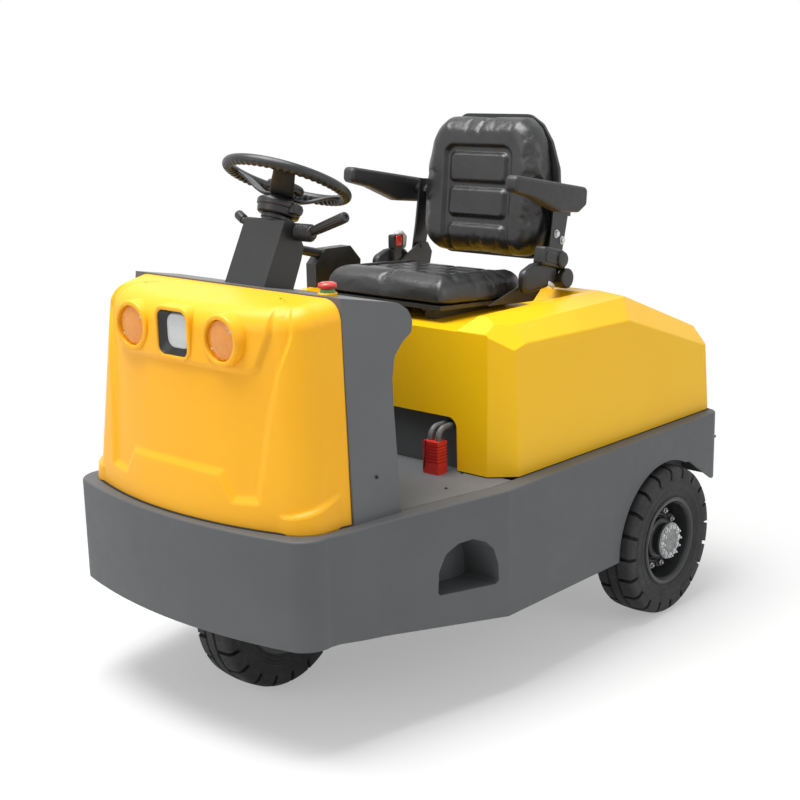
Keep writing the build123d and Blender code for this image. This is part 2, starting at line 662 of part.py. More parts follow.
def plug_opening():
    points = [(-312, 500), (312, 500), (306, 652), (-306, 652)]
    cut = front_slab(points, -220, -120)
    return fillet(cut.edges().filter_by(Axis.Y).sort_by(Axis.Z)[-2:], 28)


def creases(form, shortest):
    # Edges above the deck where two faces meet at more than 8 degrees.
    found = []
    for edge in form.edges().filter_by(GeomType.LINE):
        if edge.length > shortest and edge.center().Z > HOOD_Z + 9:
            a, b = [face for face in form.faces() if any(edge.is_same(other) for other in face.edges())]
            if a.normal_at(edge @ 0.5).get_angle(b.normal_at(edge @ 0.5)) > 8:
                found.append(edge)
    return found


def hood_skin(inset):
    # The hood's outside with its long side creases well rounded and the others softened.
    form = hood_form(inset)
    sides = [e for e in creases(form, 170) if abs(e.center().X) > HOOD_HALF - 35]
    form = form.fillet(HOOD_SIDE_R - inset, sides)
    return form.fillet(max(HOOD_EDGE_R - inset, 3.0), creases(form, 20))


def rear_hood():
    shell = hood_skin(0) - seat_recess(0)
    shell -= hood_skin(HOOD_WALL) - seat_recess(HOOD_WALL)
    return shell - plug_opening()


def hood_seal():
    # Rubber strip on the deck that the closed hood rests on.
    ring = hood_form(1.5) & block(-500, 500, -200, 800, DECK_Z - 1, DECK_Z + 20)
    ring -= hood_form(HOOD_WALL - 1.5)
    ring = Pos(0, 0, DECK_Z - ring.bounding_box().min.Z) * ring
    ring &= block(-500, 500, -200, 800, DECK_Z, DECK_Z + SEAL)
    return ring - block(-RECESS_X - 20, RECESS_X + 20, -200, -140, 500, 600)


def hood_hinge_base():
    base = None
    for x in (-250, 250):
        foot = block(x - 30, x + 30, HOOD_PIVOT_Y - 9.5, HOOD_PIVOT_Y - 3, DECK_Z, HOOD_PIVOT_Z)
        foot += drum_x(x - 30, x + 30, HOOD_PIVOT_Y, HOOD_PIVOT_Z, 9)
        foot -= drum_x(x - 15, x + 15, HOOD_PIVOT_Y, HOOD_PIVOT_Z, 11)
        foot -= drum_x(x - 40, x + 40, HOOD_PIVOT_Y, HOOD_PIVOT_Z, HINGE_PIN_R)
        base = foot if base is None else base + foot
    return base


def hood_hinge_leaf():
    leaf = None
    for x in (-250, 250):
        plate = block(x - 14, x + 14, HOOD_REAR_Y - 0.4, HOOD_REAR_Y + 3.6, HOOD_PIVOT_Z, HOOD_PIVOT_Z + 50)
        plate += drum_x(x - 14, x + 14, HOOD_PIVOT_Y, HOOD_PIVOT_Z, 9)
        plate += drum_x(x - 30, x + 30, HOOD_PIVOT_Y, HOOD_PIVOT_Z, HINGE_PIN_R - RUNNING)
        leaf = plate if leaf is None else leaf + plate
    return leaf


# Seat
def on_seat(solid):
    return Pos(0, SEAT_Y, SEAT_Z) * Rot(X=-SEAT_TILT) * solid


def seat_rails():
    rails = None
    for x in (-140, 140):
        bar = block(x - 16, x + 16, 60, 390, -45, -8)
        bar = on_seat(bar) & block(-400, 400, -200, 400, RECESS_Z, 950)
        rails = bar if rails is None else rails + bar
    return rails


def seat_pan():
    pan = block(-PAN_HALF + 17, PAN_HALF - 17, 22, 372, 0, 10)
    for x in (-140, 140):
        pan += block(x - 12, x + 12, 40, 285, -7.9, 1)
    cheek = side_slab(CHEEK, PAN_HALF + 4, PAN_HALF + 10)
    bridge = block(PAN_HALF - 22, PAN_HALF + 8, 250, 372, 0, 8)
    pan = on_seat(pan + cheek + mirrored(cheek) + bridge + mirrored(bridge))
    return pan - drum_x(-ARM_IN_X, ARM_IN_X, BACK_PIVOT_Y, BACK_PIVOT_Z, PIVOT_R + RUNNING)


def seat_cushion():
    half = [(PAN_HALF - 10, 20), (PAN_HALF, 200), (PAN_HALF - 16, 380)]
    pad = slab(half + [(-x, y) for x, y in reversed(half)], 10, 78)
    pad = fillet(pad.edges().filter_by(Axis.Z), 40)
    pad = fillet(pad.edges().group_by(Axis.Z)[-1], 22)
    return on_seat(pad)


def on_back(solid):
    return Pos(0, BACK_PIVOT_Y, BACK_PIVOT_Z) * Rot(X=-BACK_LEAN) * solid


def back_outline(grow):
    g = grow
    out = PAN_HALF + g
    half = [(out - 72 - g, -8 - g), (out - 16, 28), (out, 66), (out, 150), (out - 10, 235), (out - 38, 306)]
    half += [(out - 72, 350 + g / 2), (out - 110 - g, 372 + g)]
    return half + [(-x, z) for x, z in reversed(half)]


def back_pad(grow, y0, y1):
    pad = front_slab(back_outline(grow), y0, y1)
    return fillet(pad.edges().filter_by(Axis.Y), 40)


def seat_back():
    pad = back_pad(0, -48, 30)
    return on_back(fillet(pad.edges().group_by(Axis.Y)[0], 20))


def back_shell():
    shell = back_pad(4, 30, 48)
    return on_back(fillet(shell.edges().group_by(Axis.Y)[-1], 10))


def back_frame():
    # Side plates from the recliner up to the armrest bolts, tied behind the back.
    out = BACK_PLATE_X + BACK_PLATE_WALL
    plate = side_slab(BACK_PLATE, BACK_PLATE_X, out)
    side = block(BACK_PLATE_X, out, 20, 60, 110, 150)
    frame = plate + mirrored(plate) + block(-out, out, 48, 60, 110, 150) + side + mirrored(side)
    frame = on_back(frame)
    frame -= drum_x(-out - 10, out + 10, ARM_PIVOT_Y, ARM_PIVOT_Z, PIVOT_R + RUNNING)
    pin = drum_x(PAN_HALF + 2, out, BACK_PIVOT_Y, BACK_PIVOT_Z, PIVOT_R)
    return frame + pin + mirrored(pin)


def armrest():
    profile = [
        (84, 1219), (78, 1205), (84, 1176), (133, 1150), (278, 1110), (366, 1106), (398, 1128), (402, 1170),
    ]
    out = BACK_PLATE_X + BACK_PLATE_WALL
    arm = side_slab(profile, ARM_IN_X, ARM_IN_X + ARM_WIDTH)
    arm = fillet(arm.edges().filter_by(Axis.X), 9)
    arm = fillet(arm.edges().group_by(Axis.X)[0] + arm.edges().group_by(Axis.X)[-1], 8)
    arm += drum_x(out + 1, ARM_IN_X, ARM_PIVOT_Y, ARM_PIVOT_Z, 16)
    return arm + drum_x(BACK_PLATE_X - 2, out + 1, ARM_PIVOT_Y, ARM_PIVOT_Z, PIVOT_R)


def belt_retractor():
    # The drum of the belt on its bracket.
    inner = PAN_HALF + 10
    drum = drum_x(inner + 18, inner + 58, 316, 933, 27)
    drum = fillet(drum.edges().group_by(Axis.X)[-1], 5)
    return drum + block(inner, inner + 20, 300, 336, 915, 945)


def belt_buckle():
    stem = block(-PAN_HALF - 24, -PAN_HALF - 10.2, 205, 235, 900, 1000)
    head = block(-PAN_HALF - 28, -PAN_HALF - 6, 200, 238, 985, 1025)
    return stem + fillet(head.edges().filter_by(Axis.X), 6)


def hand_brake():
    profile = [(-20, 880), (150, 880), (160, 955), (120, 998), (20, 1000), (-20, 960)]
    housing = side_slab(profile, -RECESS_X - 60, -RECESS_X - 22)
    housing = fillet(housing.edges().filter_by(Axis.X).group_by(Axis.Z)[-1], 12) - hood_form(0)
    return housing + rod((-RECESS_X - 36, 20, 985), (-RECESS_X - 36, -105, 1016), 13)


def wheel_place(x, y, outside):
    return Pos(x, y, TYRE_R) * (Rot() if outside > 0 else Rot(Z=180))


def build():
    nodes = {
        "chassis": chassis(),
        "floor_plate": floor_plate(),
        "front_cowl": front_cowl(),
        "dash_tower": dash_tower(),
        "steering_column": steering_column(),
        "direction_lever": direction_lever(),
        "signal_stalk": signal_stalk(),
        "stop_button": stop_button(),
        "accelerator_pedal": pedal(-110, 70, 70),
        "brake_pedal": pedal(60, 80, 62),
        "battery": battery(),
        "battery_plug": battery_plug(),
        "battery_cables": battery_cables(),
        "rear_axle": rear_axle(),
        "drive_motor": drive_motor(),
        "hitch_bracket": hitch_bracket(),
        "tow_pin": tow_pin(),
        "steer_bearing": steer_bearing(),
        "steer_fork": steer_fork(),
        "front_axle_pin": front_axle_pin(),
        "steering_wheel": steering_wheel(),
        "rear_hood": rear_hood(),
        "hood_seal": hood_seal(),
        "hood_hinge_base": hood_hinge_base(),
        "hood_hinge_leaf": hood_hinge_leaf(),
        "seat_rails": seat_rails(),
        "seat_pan": seat_pan(),
        "seat_cushion": seat_cushion(),
        "seat_back": seat_back(),
        "back_shell": back_shell(),
        "back_frame": back_frame(),
        "belt_retractor": belt_retractor(),
        "belt_buckle": belt_buckle(),
        "hand_brake": hand_brake(),
        "armrest_left": armrest(),
        "armrest_right": mirrored(armrest()),
    }
    for name, x in (("turn_lamp_right", -TURN_LAMP_X), ("headlamp", 0), ("turn_lamp_left", TURN_LAMP_X)):
        nodes[name] = lamp(x)
    rubber = tyre()
    front_place = wheel_place(0, FRONT_AXLE_Y, 1)
    nodes["front_tyre"] = front_place * rubber
    nodes["front_rim"] = front_place * rim(front_hub())
    for name, s in (("left", 1), ("right", -1)):
        place = wheel_place(s * REAR_WHEEL_X, REAR_AXLE_Y, s)
        nodes["rear_tyre_" + name] = place * rubber
        nodes["rear_rim_" + name] = place * rim(rear_hub())
    return nodes


os.makedirs("parts", exist_ok=True)
for name, solid in build().items():
    export_step(solid, f"parts/{name}.step")
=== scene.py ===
import json
import logging
import math
from collections.abc import Callable, Sequence
from dataclasses import dataclass
from enum import Enum

import bmesh
import bpy
import numpy as np
from mathutils import Matrix, Vector


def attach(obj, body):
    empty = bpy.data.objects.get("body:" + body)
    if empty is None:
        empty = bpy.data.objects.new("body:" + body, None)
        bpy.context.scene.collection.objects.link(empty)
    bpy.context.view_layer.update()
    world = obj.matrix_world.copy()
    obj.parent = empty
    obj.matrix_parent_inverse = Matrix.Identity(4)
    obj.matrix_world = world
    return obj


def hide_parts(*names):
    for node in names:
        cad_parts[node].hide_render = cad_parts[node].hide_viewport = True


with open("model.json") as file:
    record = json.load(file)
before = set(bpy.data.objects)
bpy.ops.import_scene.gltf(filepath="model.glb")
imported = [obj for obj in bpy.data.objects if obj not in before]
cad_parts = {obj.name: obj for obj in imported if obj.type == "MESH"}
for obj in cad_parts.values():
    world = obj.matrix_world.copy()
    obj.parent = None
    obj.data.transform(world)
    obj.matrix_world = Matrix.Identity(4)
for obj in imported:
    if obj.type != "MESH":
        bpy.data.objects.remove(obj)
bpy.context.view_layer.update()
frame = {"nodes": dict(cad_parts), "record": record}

# The tow tractor's front is -Y, the driver's left is +X. Sizes are in millimetres
# in the classes below, and become metres where a mesh is written.
MM = 0.001
LOG = logging.getLogger("tow_tractor")
Array = np.ndarray
Corners = Sequence[tuple[float, float]]


class Slot(Enum):
    """Material slots of the record that a new piece can take its finish from."""

    CHASSIS = "chassis_grey"
    COVER = "cover_yellow"
    MOULDED = "moulded_black"
    VINYL = "seat_vinyl"
    TYRE = "tyre_rubber"
    BLACK_STEEL = "black_steel"
    STEEL = "plain_steel"
    AMBER = "lamp_amber"
    CLEAR = "lamp_clear"
    RED = "button_red"
    LEAD = "lead_grey"


# Forms


def ramp(value: Array, low: float, high: float) -> Array:
    """Smooth step: 0 up to low, 1 from high, and 3t^2 - 2t^3 between them.

    Args:
        value: Numbers to map.
        low: Where the step starts.
        high: Where the step ends.

    Returns:
        The smooth share, 0 to 1.
    """
    t = np.clip((value - low) / (high - low), 0.0, 1.0)
    return t * t * (3.0 - 2.0 * t)


def outline_distance(x: Array, z: Array, corners: Corners) -> Array:
    """Signed distance to a closed outline: least distance to its edges, negative inside.

    Args:
        x: First coordinates.
        z: Second coordinates.
        corners: The outline's corners in order.

    Returns:
        The distance of each point, in the outline's unit.
    """
    ring = list(corners)
    distance = np.full(x.shape, np.inf)
    inside = np.zeros(x.shape, bool)
    for (ax, az), (bx, bz) in zip(ring, ring[1:] + ring[:1]):
        ex, ez = bx - ax, bz - az
        share = np.clip(((x - ax) * ex + (z - az) * ez) / (ex * ex + ez * ez), 0.0, 1.0)
        distance = np.minimum(distance, np.hypot(x - ax - share * ex, z - az - share * ez))
        crossing = (az > z) != (bz > z)
        inside ^= crossing & (x < (z - az) * ex / (ez if ez else 1e-9) + ax)
    return np.where(inside, -distance, distance)


def rounded_box_distance(x: Array, z: Array, half_x: float, half_z: float, radius: float) -> Array:
    """Signed distance to a rounded rectangle: |max(|p| - half + r, 0)| + min(max, 0) - r.

    Args:
        x: Coordinates from its centre.
        z: Coordinates from its centre.
        half_x: Half its width.
        half_z: Half its height.
        radius: Its corner radius.

    Returns:
        The distance of each point.
    """
    dx = np.abs(x) - half_x + radius
    dz = np.abs(z) - half_z + radius
    outer = np.hypot(np.maximum(dx, 0.0), np.maximum(dz, 0.0))
    return outer + np.minimum(np.maximum(dx, dz), 0.0) - radius


def rounded_outline(corners: Corners, radius: float, steps: int = 5) -> Array:
    """An outline whose corners are arcs: each corner's arc starts and ends r/tan(a/2) from it.

    Args:
        corners: The sharp corners in order.
        radius: Radius of each arc, cut down where an edge is short.
        steps: Points on each arc, less one.

    Returns:
        Points (n, 2) of the closed outline.
    """
    ring = np.asarray(corners, float)
    points = []
    for before, corner, after in zip(np.roll(ring, 1, 0), ring, np.roll(ring, -1, 0)):
        a, b = before - corner, after - corner
        la, lb = np.linalg.norm(a), np.linalg.norm(b)
        a, b = a / la, b / lb
        half = math.acos(max(-1.0, min(1.0, float(a @ b)))) / 2
        back = min(radius / math.tan(half), 0.48 * min(la, lb))
        r = back * math.tan(half)
        middle = (a + b) / np.linalg.norm(a + b)
        centre = corner + middle * (r / math.sin(half))
        start, end = corner + a * back - centre, corner + b * back - centre
        turn = math.atan2(start[0] * end[1] - start[1] * end[0], start @ end)
        angles = turn * np.linspace(0, 1, steps + 1)[:, None]
        side = np.array([-start[1], start[0]])
        points.append(centre + start * np.cos(angles) + side * np.sin(angles))
    return np.concatenate(points)


def rounded_rectangle(half_x: float, half_y: float, radius: float, steps: int = 5) -> Array:
    """The outline of a rectangle about the origin whose corners are arcs."""
    corners = [(-half_x, -half_y), (half_x, -half_y), (half_x, half_y), (-half_x, half_y)]
    return rounded_outline(corners, radius, steps)


def stacked(rings: Sequence[tuple[Array, float]]) -> Array:
    """Outlines (n, 2) laid at their heights, as one grid (rings, n, 3)."""
    return np.stack([np.column_stack([ring, np.full(len(ring), height)]) for ring, height in rings])


def is_clockwise(outline: Array) -> bool:
    """Whether an outline's signed area is negative."""
    x, y = outline[:, 0], outline[:, 1]
    return float(np.sum(x * np.roll(y, -1) - np.roll(x, -1) * y)) < 0


def round_tube(path: Array, radius: float | Array, around: int = 16, closed: bool = False) -> Array:
    """A round section carried along a path: path + r (cos a N + sin a B), N held square to the path.

    Args:
        path: Points (n, 3) of the centre line.
        radius: One radius, or one for each point.
        around: Points round the section.
        closed: Whether the path's end meets its start.

    Returns:
        Grid (n, around, 3).
    """
    if closed:
        tangent = np.roll(path, -1, 0) - np.roll(path, 1, 0)
    else:
        tangent = np.gradient(path, axis=0)
    tangent /= np.linalg.norm(tangent, axis=1, keepdims=True)
    normal = np.empty_like(path)
    start = np.cross(tangent[0], (0.0, 0.0, 1.0))
    if np.linalg.norm(start) < 1e-3:
        start = np.cross(tangent[0], (0.0, 1.0, 0.0))
    normal[0] = start
    for i in range(1, len(path)):
        normal[i] = normal[i - 1] - (normal[i - 1] @ tangent[i]) * tangent[i]
    normal /= np.linalg.norm(normal, axis=1, keepdims=True)
    binormal = np.cross(tangent, normal)
    angle = np.linspace(0, 2 * math.pi, around, endpoint=False)
    reach = np.broadcast_to(np.asarray(radius, float), (len(path),))[:, None, None]
    ring = np.cos(angle)[None, :, None] * normal[:, None] + np.sin(angle)[None, :, None] * binormal[:, None]
    return path[:, None] + reach * ring


def revolve(profile: Array, steps: int = 64) -> Array:
    """A profile turned about the Z axis: (r cos a, r sin a, z).

    Args:
        profile: Points (n, 2) as radius and height.
        steps: Points round the axis.

    Returns:
        Grid (steps, n, 3).
    """
    angle = np.linspace(0, 2 * math.pi, steps, endpoint=False)[:, None]
    radius, height = profile[:, 0][None], profile[:, 1][None]
    return np.stack(np.broadcast_arrays(radius * np.cos(angle), radius * np.sin(angle), height), -1)


def slab_rings(outline: Array, thickness: float, edge: float, steps: int = 4) -> Array:
    """An outline given a thickness with rounded edges: at angle t the ring is inset e(1 - sin t).

    Args:
        outline: Points (n, 2) in order, counter-clockwise.
        thickness: Height of the slab.
        edge: Radius of its edges.
        steps: Rings on each rounded edge, less one.

    Returns:
        Grid (rings, n, 3) from the bottom to the top.
    """
    along = np.roll(outline, -1, 0) - np.roll(outline, 1, 0)
    along /= np.maximum(np.linalg.norm(along, axis=1, keepdims=True), 1e-9)
    outward = np.stack([along[:, 1], -along[:, 0]], 1)
    angle = np.linspace(0, math.pi / 2, steps + 1)
    inset = edge * (1 - np.sin(angle))
    low = edge * (1 - np.cos(angle))
    insets = np.concatenate([inset, inset[::-1]])
    heights = np.concatenate([low, thickness - low[::-1]])
    flat = outline[None] - outward[None] * insets[:, None, None]
    height = np.broadcast_to(heights[:, None, None], flat.shape[:2] + (1,))
    return np.concatenate([flat, height], 2)


def placed(points: Array, matrix: Matrix) -> Array:
    """Points (..., 3) moved by a matrix."""
    m = np.array(matrix, float)
    return points @ m[:3, :3].T + m[:3, 3]


def turned(axis: str, degrees: float) -> Matrix:
    """A turn about X, Y or Z, in degrees."""
    return Matrix.Rotation(math.radians(degrees), 4, axis)


def at(x: float, y: float, z: float) -> Matrix:
    """A move to a place, in millimetres."""
    return Matrix.Translation((x, y, z))


def pointing(start: Sequence[float], end: Sequence[float]) -> Matrix:
    """A frame at start whose Z axis points to end."""
    direction = Vector(end) - Vector(start)
    return Matrix.Translation(start) @ direction.to_track_quat("Z", "Y").to_matrix().to_4x4()


# Meshes


@dataclass
class Patch:
    """A grid of points that becomes part of a mesh, with its rows or columns closed if asked."""

    points: Array
    wrap_rows: bool = False
    wrap_columns: bool = False
    caps: bool = False

    def faces(self, first: int) -> list[list[int]]:
        """Quads (i, j), (i+1, j), (i+1, j+1), (i, j+1), and an end cap on each outer row.

        Args:
            first: Number of the first vertex.

        Returns:
            Vertex numbers of each face.
        """
        rows, columns = self.points.shape[:2]
        i = np.arange(rows if self.wrap_rows else rows - 1)
        j = np.arange(columns if self.wrap_columns else columns - 1)
        a, b = (grid.ravel() for grid in np.meshgrid(i, j, indexing="ij"))
        c, d = (a + 1) % rows, (b + 1) % columns
        quads = np.stack([a * columns + b, c * columns + b, c * columns + d, a * columns + d], -1) + first
        found = quads.tolist()
        if self.caps:
            ring = np.arange(columns) + first
            found.append(ring.tolist())
            found.append((ring[::-1] + (rows - 1) * columns).tolist())
        return found


def make_piece(
    name: str,
    patches: Patch | Sequence[Patch],
    finish: bpy.types.Material,
    body: str,
    sharp: float = 35.0,
    replaces: Sequence[str] = (),
) -> bpy.types.Object:
    """Writes patches, in millimetres, as one piece, with doubles merged and faces outwards.

    Args:
        name: The piece's name.
        patches: The grids it is made of.
        finish: Its material.
        body: The moving body that it rides on.
        sharp: Edges steeper than this, in degrees, stay crisp.
        replaces: Construction nodes that the piece stands for.

    Returns:
        The new object.
    """
    group = [patches] if isinstance(patches, Patch) else list(patches)
    points, faces, count = [], [], 0
    for patch in group:
        points.append(patch.points.reshape(-1, 3))
        faces += patch.faces(count)
        count += len(points[-1])
    mesh = bpy.data.meshes.new(name)
    mesh.from_pydata((np.concatenate(points) * MM).tolist(), [], faces)
    merge(mesh)
    return dress(mesh, name, finish, body, sharp, replaces)


def merge(mesh: bpy.types.Mesh, outward: bool = True) -> None:
    """Merges a mesh's doubles, drops faces left without area, and turns faces outwards.

    Args:
        mesh: The mesh to clean.
        outward: Whether its faces are turned outwards too.
    """
    work = bmesh.new()
    work.from_mesh(mesh)
    bmesh.ops.remove_doubles(work, verts=work.verts, dist=2e-6)
    bmesh.ops.dissolve_degenerate(work, edges=work.edges, dist=1e-7)
    if outward:
        bmesh.ops.recalc_face_normals(work, faces=work.faces)
    work.to_mesh(mesh)
    work.free()


def dress(
    mesh: bpy.types.Mesh,
    name: str,
    finish: bpy.types.Material,
    body: str,
    sharp: float = 35.0,
    replaces: Sequence[str] = (),
) -> bpy.types.Object:
    """Makes an object of a mesh, smooths it, and gives it its finish and its body.

    Args:
        mesh: The mesh, in metres.
        name: The piece's name.
        finish: Its material.
        body: The moving body that it rides on.
        sharp: Edges steeper than this, in degrees, stay crisp.
        replaces: Construction nodes that the piece stands for.

    Returns:
        The new object.
    """
    mesh.polygons.foreach_set("use_smooth", np.ones(len(mesh.polygons), bool))
    mesh.set_sharp_from_angle(angle=math.radians(sharp))
    mesh.materials.append(finish)
    piece = bpy.data.objects.new(name, mesh)
    bpy.context.scene.collection.objects.link(piece)
    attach(piece, body)
    if replaces:
        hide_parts(*replaces)
    LOG.info("%s: %d faces on %s", name, len(mesh.polygons), body)
    return piece


def bar(outline: Array, thickness: float, edge: float, matrix: Matrix) -> Patch:
    """A rounded slab of an outline, closed at both ends and put in place.

    Args:
        outline: Points (n, 2).
        thickness: Its height.
        edge: Radius of its edges.
        matrix: Its place.

    Returns:
        The patch.
    """
    return Patch(placed(slab_rings(outline, thickness, edge), matrix), wrap_columns=True, caps=True)


def spin(profile: Sequence[tuple[float, float]], matrix: Matrix, steps: int = 48) -> Patch:
    """A turned part: a closed or axis-to-axis profile about Z, put in place.

    Args:
        profile: (radius, height) points; its ends lie on the axis or meet.
        matrix: Its place.
        steps: Points round the axis.

    Returns:
        The patch.
    """
    return Patch(placed(revolve(np.asarray(profile, float), steps), matrix), wrap_rows=True)


def mirrored(patch: Patch) -> Patch:
    """The same patch on the tractor's other side."""
    return Patch(patch.points * (-1.0, 1.0, 1.0), patch.wrap_rows, patch.wrap_columns, patch.caps)


def cut_screw(place: Matrix, radius: float = 5.0) -> list[Patch]:
    """A round-headed screw with a round socket, standing on its frame's origin.

    Args:
        place: Its frame, Z outwards.
        radius: Radius of its head.

    Returns:
        The patches.
    """
    dome = [(radius, -1), (radius, 0.4), (radius * 0.8, 2.0), (radius * 0.45, 2.6)]
    socket = [(radius * 0.42, 1.2), (0, 1.2)]
    return [spin([(0, -1), *dome, *socket], place, 20)]


def side_plane(x: float) -> Matrix:
    """A frame whose X is the tractor's Y, whose Y is up, and whose Z is +X, at a given x."""
    return Matrix(((0, 0, 1, x), (1, 0, 0, 0), (0, 1, 0, 0), (0, 0, 0, 1)))


# Finishes


Socket = bpy.types.NodeSocket
Colour = tuple[float, float, float]


class Tree:
    """An emptied node tree of a material or the world, with short calls to add and join nodes."""

    def __init__(self, owner: bpy.types.Material | bpy.types.World) -> None:
        """Clears the owner's tree.

        Args:
            owner: What the tree belongs to.
        """
        owner.use_nodes = True
        self.tree = owner.node_tree
        self.tree.nodes.clear()

    def add(self, kind: str, **values: object) -> bpy.types.Node:
        """Adds a node; a value is put on the input or the property of that name.

        Args:
            kind: Blender's name of the node.
            **values: Values, with _ for a space in an input's name.

        Returns:
            The node.
        """
        node = self.tree.nodes.new(kind)
        for key, value in values.items():
            words = key.replace("_", " ")
            if words in node.inputs:
                node.inputs[words].default_value = value
            else:
                setattr(node, key, value)
        return node

    def join(self, source: Socket, target: Socket) -> None:
        """Joins two sockets."""
        self.tree.links.new(source, target)

    def seen(self) -> Socket:
        """A share that is 1 for the rays the eye follows: from the camera, glossy and through glass."""
        path = self.add("ShaderNodeLightPath")
        share = path.outputs["Is Camera Ray"]
        for kind in ("Is Glossy Ray", "Is Transmission Ray"):
            either = self.add("ShaderNodeMath", operation="MAXIMUM")
            self.join(share, either.inputs[0])
            self.join(path.outputs[kind], either.inputs[1])
            share = either.outputs[0]
        return share


class Nodes(Tree):
    """One material's node tree, over the piece's own coordinates."""

    def __init__(self, name: str) -> None:
        """Starts an empty material.

        Args:
            name: The material's name.
        """
        self.material = bpy.data.materials.new(name)
        super().__init__(self.material)
        self.output = self.add("ShaderNodeOutputMaterial")
        self.place = self.add("ShaderNodeTexCoord")

    def noise(self, scale: float, detail: float = 3.0) -> Socket:
        """Noise over the piece's own coordinates.

        Args:
            scale: Patches for each metre.
            detail: How many finer layers it has.

        Returns:
            The noise's value.
        """
        noise = self.add("ShaderNodeTexNoise", Scale=scale, Detail=detail)
        self.join(self.place.outputs["Object"], noise.inputs["Vector"])
        return noise.outputs["Fac"]

    def spread(self, share: Socket, low: float, high: float) -> Socket:
        """Maps 0.3 to 0.7 of a noise to low to high.

        Args:
            share: The noise.
            low: Value at 0.3.
            high: Value at 0.7.

        Returns:
            The mapped value.
        """
        node = self.add("ShaderNodeMapRange", From_Min=0.3, From_Max=0.7, To_Min=low, To_Max=high)
        self.join(share, node.inputs["Value"])
        return node.outputs["Result"]

    def blend(self, share: Socket, low: Colour, high: Colour) -> Socket:
        """A colour between two, by a share.

        Args:
            share: 0 for low and 1 for high.
            low: Linear colour.
            high: Linear colour.

        Returns:
            The colour.
        """
        mix = self.add("ShaderNodeMix", data_type="RGBA")
        mix.inputs[6].default_value = (*low, 1)
        mix.inputs[7].default_value = (*high, 1)
        self.join(share, mix.inputs[0])
        return mix.outputs[2]

    def relief(self, height: Socket, depth: float, under: Socket | None = None) -> Socket:
        """A bump of a given depth in metres, on top of another one.

        Args:
            height: The bump's height, 0 to 1.
            depth: Its depth in metres.
            under: The bump below it.

        Returns:
            The normal.
        """
        bump = self.add("ShaderNodeBump", Strength=1.0, Distance=depth)
        self.join(height, bump.inputs["Height"])
        if under is not None:
            self.join(under, bump.inputs["Normal"])
        return bump.outputs["Normal"]


@dataclass(frozen=True)
class Finish:
    """A painted, moulded or metal surface: mottled colour, uneven roughness and a fine grain."""

    name: str
    colour: Colour
    shade: Colour
    roughness: tuple[float, float]
    metallic: float = 0.0
    mottle: float = 6.0
    grain: float = 900.0
    grain_depth: float = 0.00005
    wave: float = 0.0
    wave_depth: float = 0.0
    coat: float = 0.0
    specular: float = 0.5

    def build(self) -> bpy.types.Material:
        """Makes the material.

        Returns:
            The material.
        """
        nodes = Nodes(self.name)
        surface = nodes.add(
            "ShaderNodeBsdfPrincipled",
            Metallic=self.metallic,
            Coat_Weight=self.coat,
            Coat_Roughness=0.08,
            Specular_IOR_Level=self.specular,
        )
        mottle = nodes.spread(nodes.noise(self.mottle, 4.0), 0.0, 1.0)
        nodes.join(nodes.blend(mottle, self.colour, self.shade), surface.inputs["Base Color"])
        wear = nodes.spread(nodes.noise(self.mottle * 5, 5.0), *self.roughness)
        nodes.join(wear, surface.inputs["Roughness"])
        normal = nodes.relief(nodes.noise(self.grain, 2.0), self.grain_depth)
        if self.wave_depth:
            normal = nodes.relief(nodes.noise(self.wave, 1.0), self.wave_depth, normal)
        nodes.join(normal, surface.inputs["Normal"])
        nodes.join(surface.outputs["BSDF"], nodes.output.inputs["Surface"])
        return nodes.material


@dataclass(frozen=True)
class Vinyl:
    """Black seat vinyl: leather cells pressed into a satin skin, with soft creases."""

    name: str = "PadVinyl"
    colour: Colour = (0.008, 0.0085, 0.0095)
    shade: Colour = (0.014, 0.0145, 0.0155)
    cell: float = 520.0

    def build(self) -> bpy.types.Material:
        """Makes the material.

        Returns:
            The material.
        """
        nodes = Nodes(self.name)
        surface = nodes.add("ShaderNodeBsdfPrincipled", Specular_IOR_Level=0.62)
        mottle = nodes.spread(nodes.noise(14.0, 5.0), 0.0, 1.0)
        nodes.join(nodes.blend(mottle, self.colour, self.shade), surface.inputs["Base Color"])
        nodes.join(nodes.spread(nodes.noise(40.0, 4.0), 0.26, 0.36), surface.inputs["Roughness"])
        cells = nodes.add("ShaderNodeTexVoronoi", Scale=self.cell, feature="DISTANCE_TO_EDGE")
        nodes.join(nodes.place.outputs["Object"], cells.inputs["Vector"])
        lines = nodes.add("ShaderNodeMapRange", From_Min=0.0, From_Max=0.12)
        nodes.join(cells.outputs["Distance"], lines.inputs["Value"])
        skin = nodes.relief(lines.outputs["Result"], 0.00006)
        creases = nodes.relief(nodes.noise(22.0, 2.0), 0.0016, skin)
        nodes.join(creases, surface.inputs["Normal"])
        nodes.join(surface.outputs["BSDF"], nodes.output.inputs["Surface"])
        return nodes.material


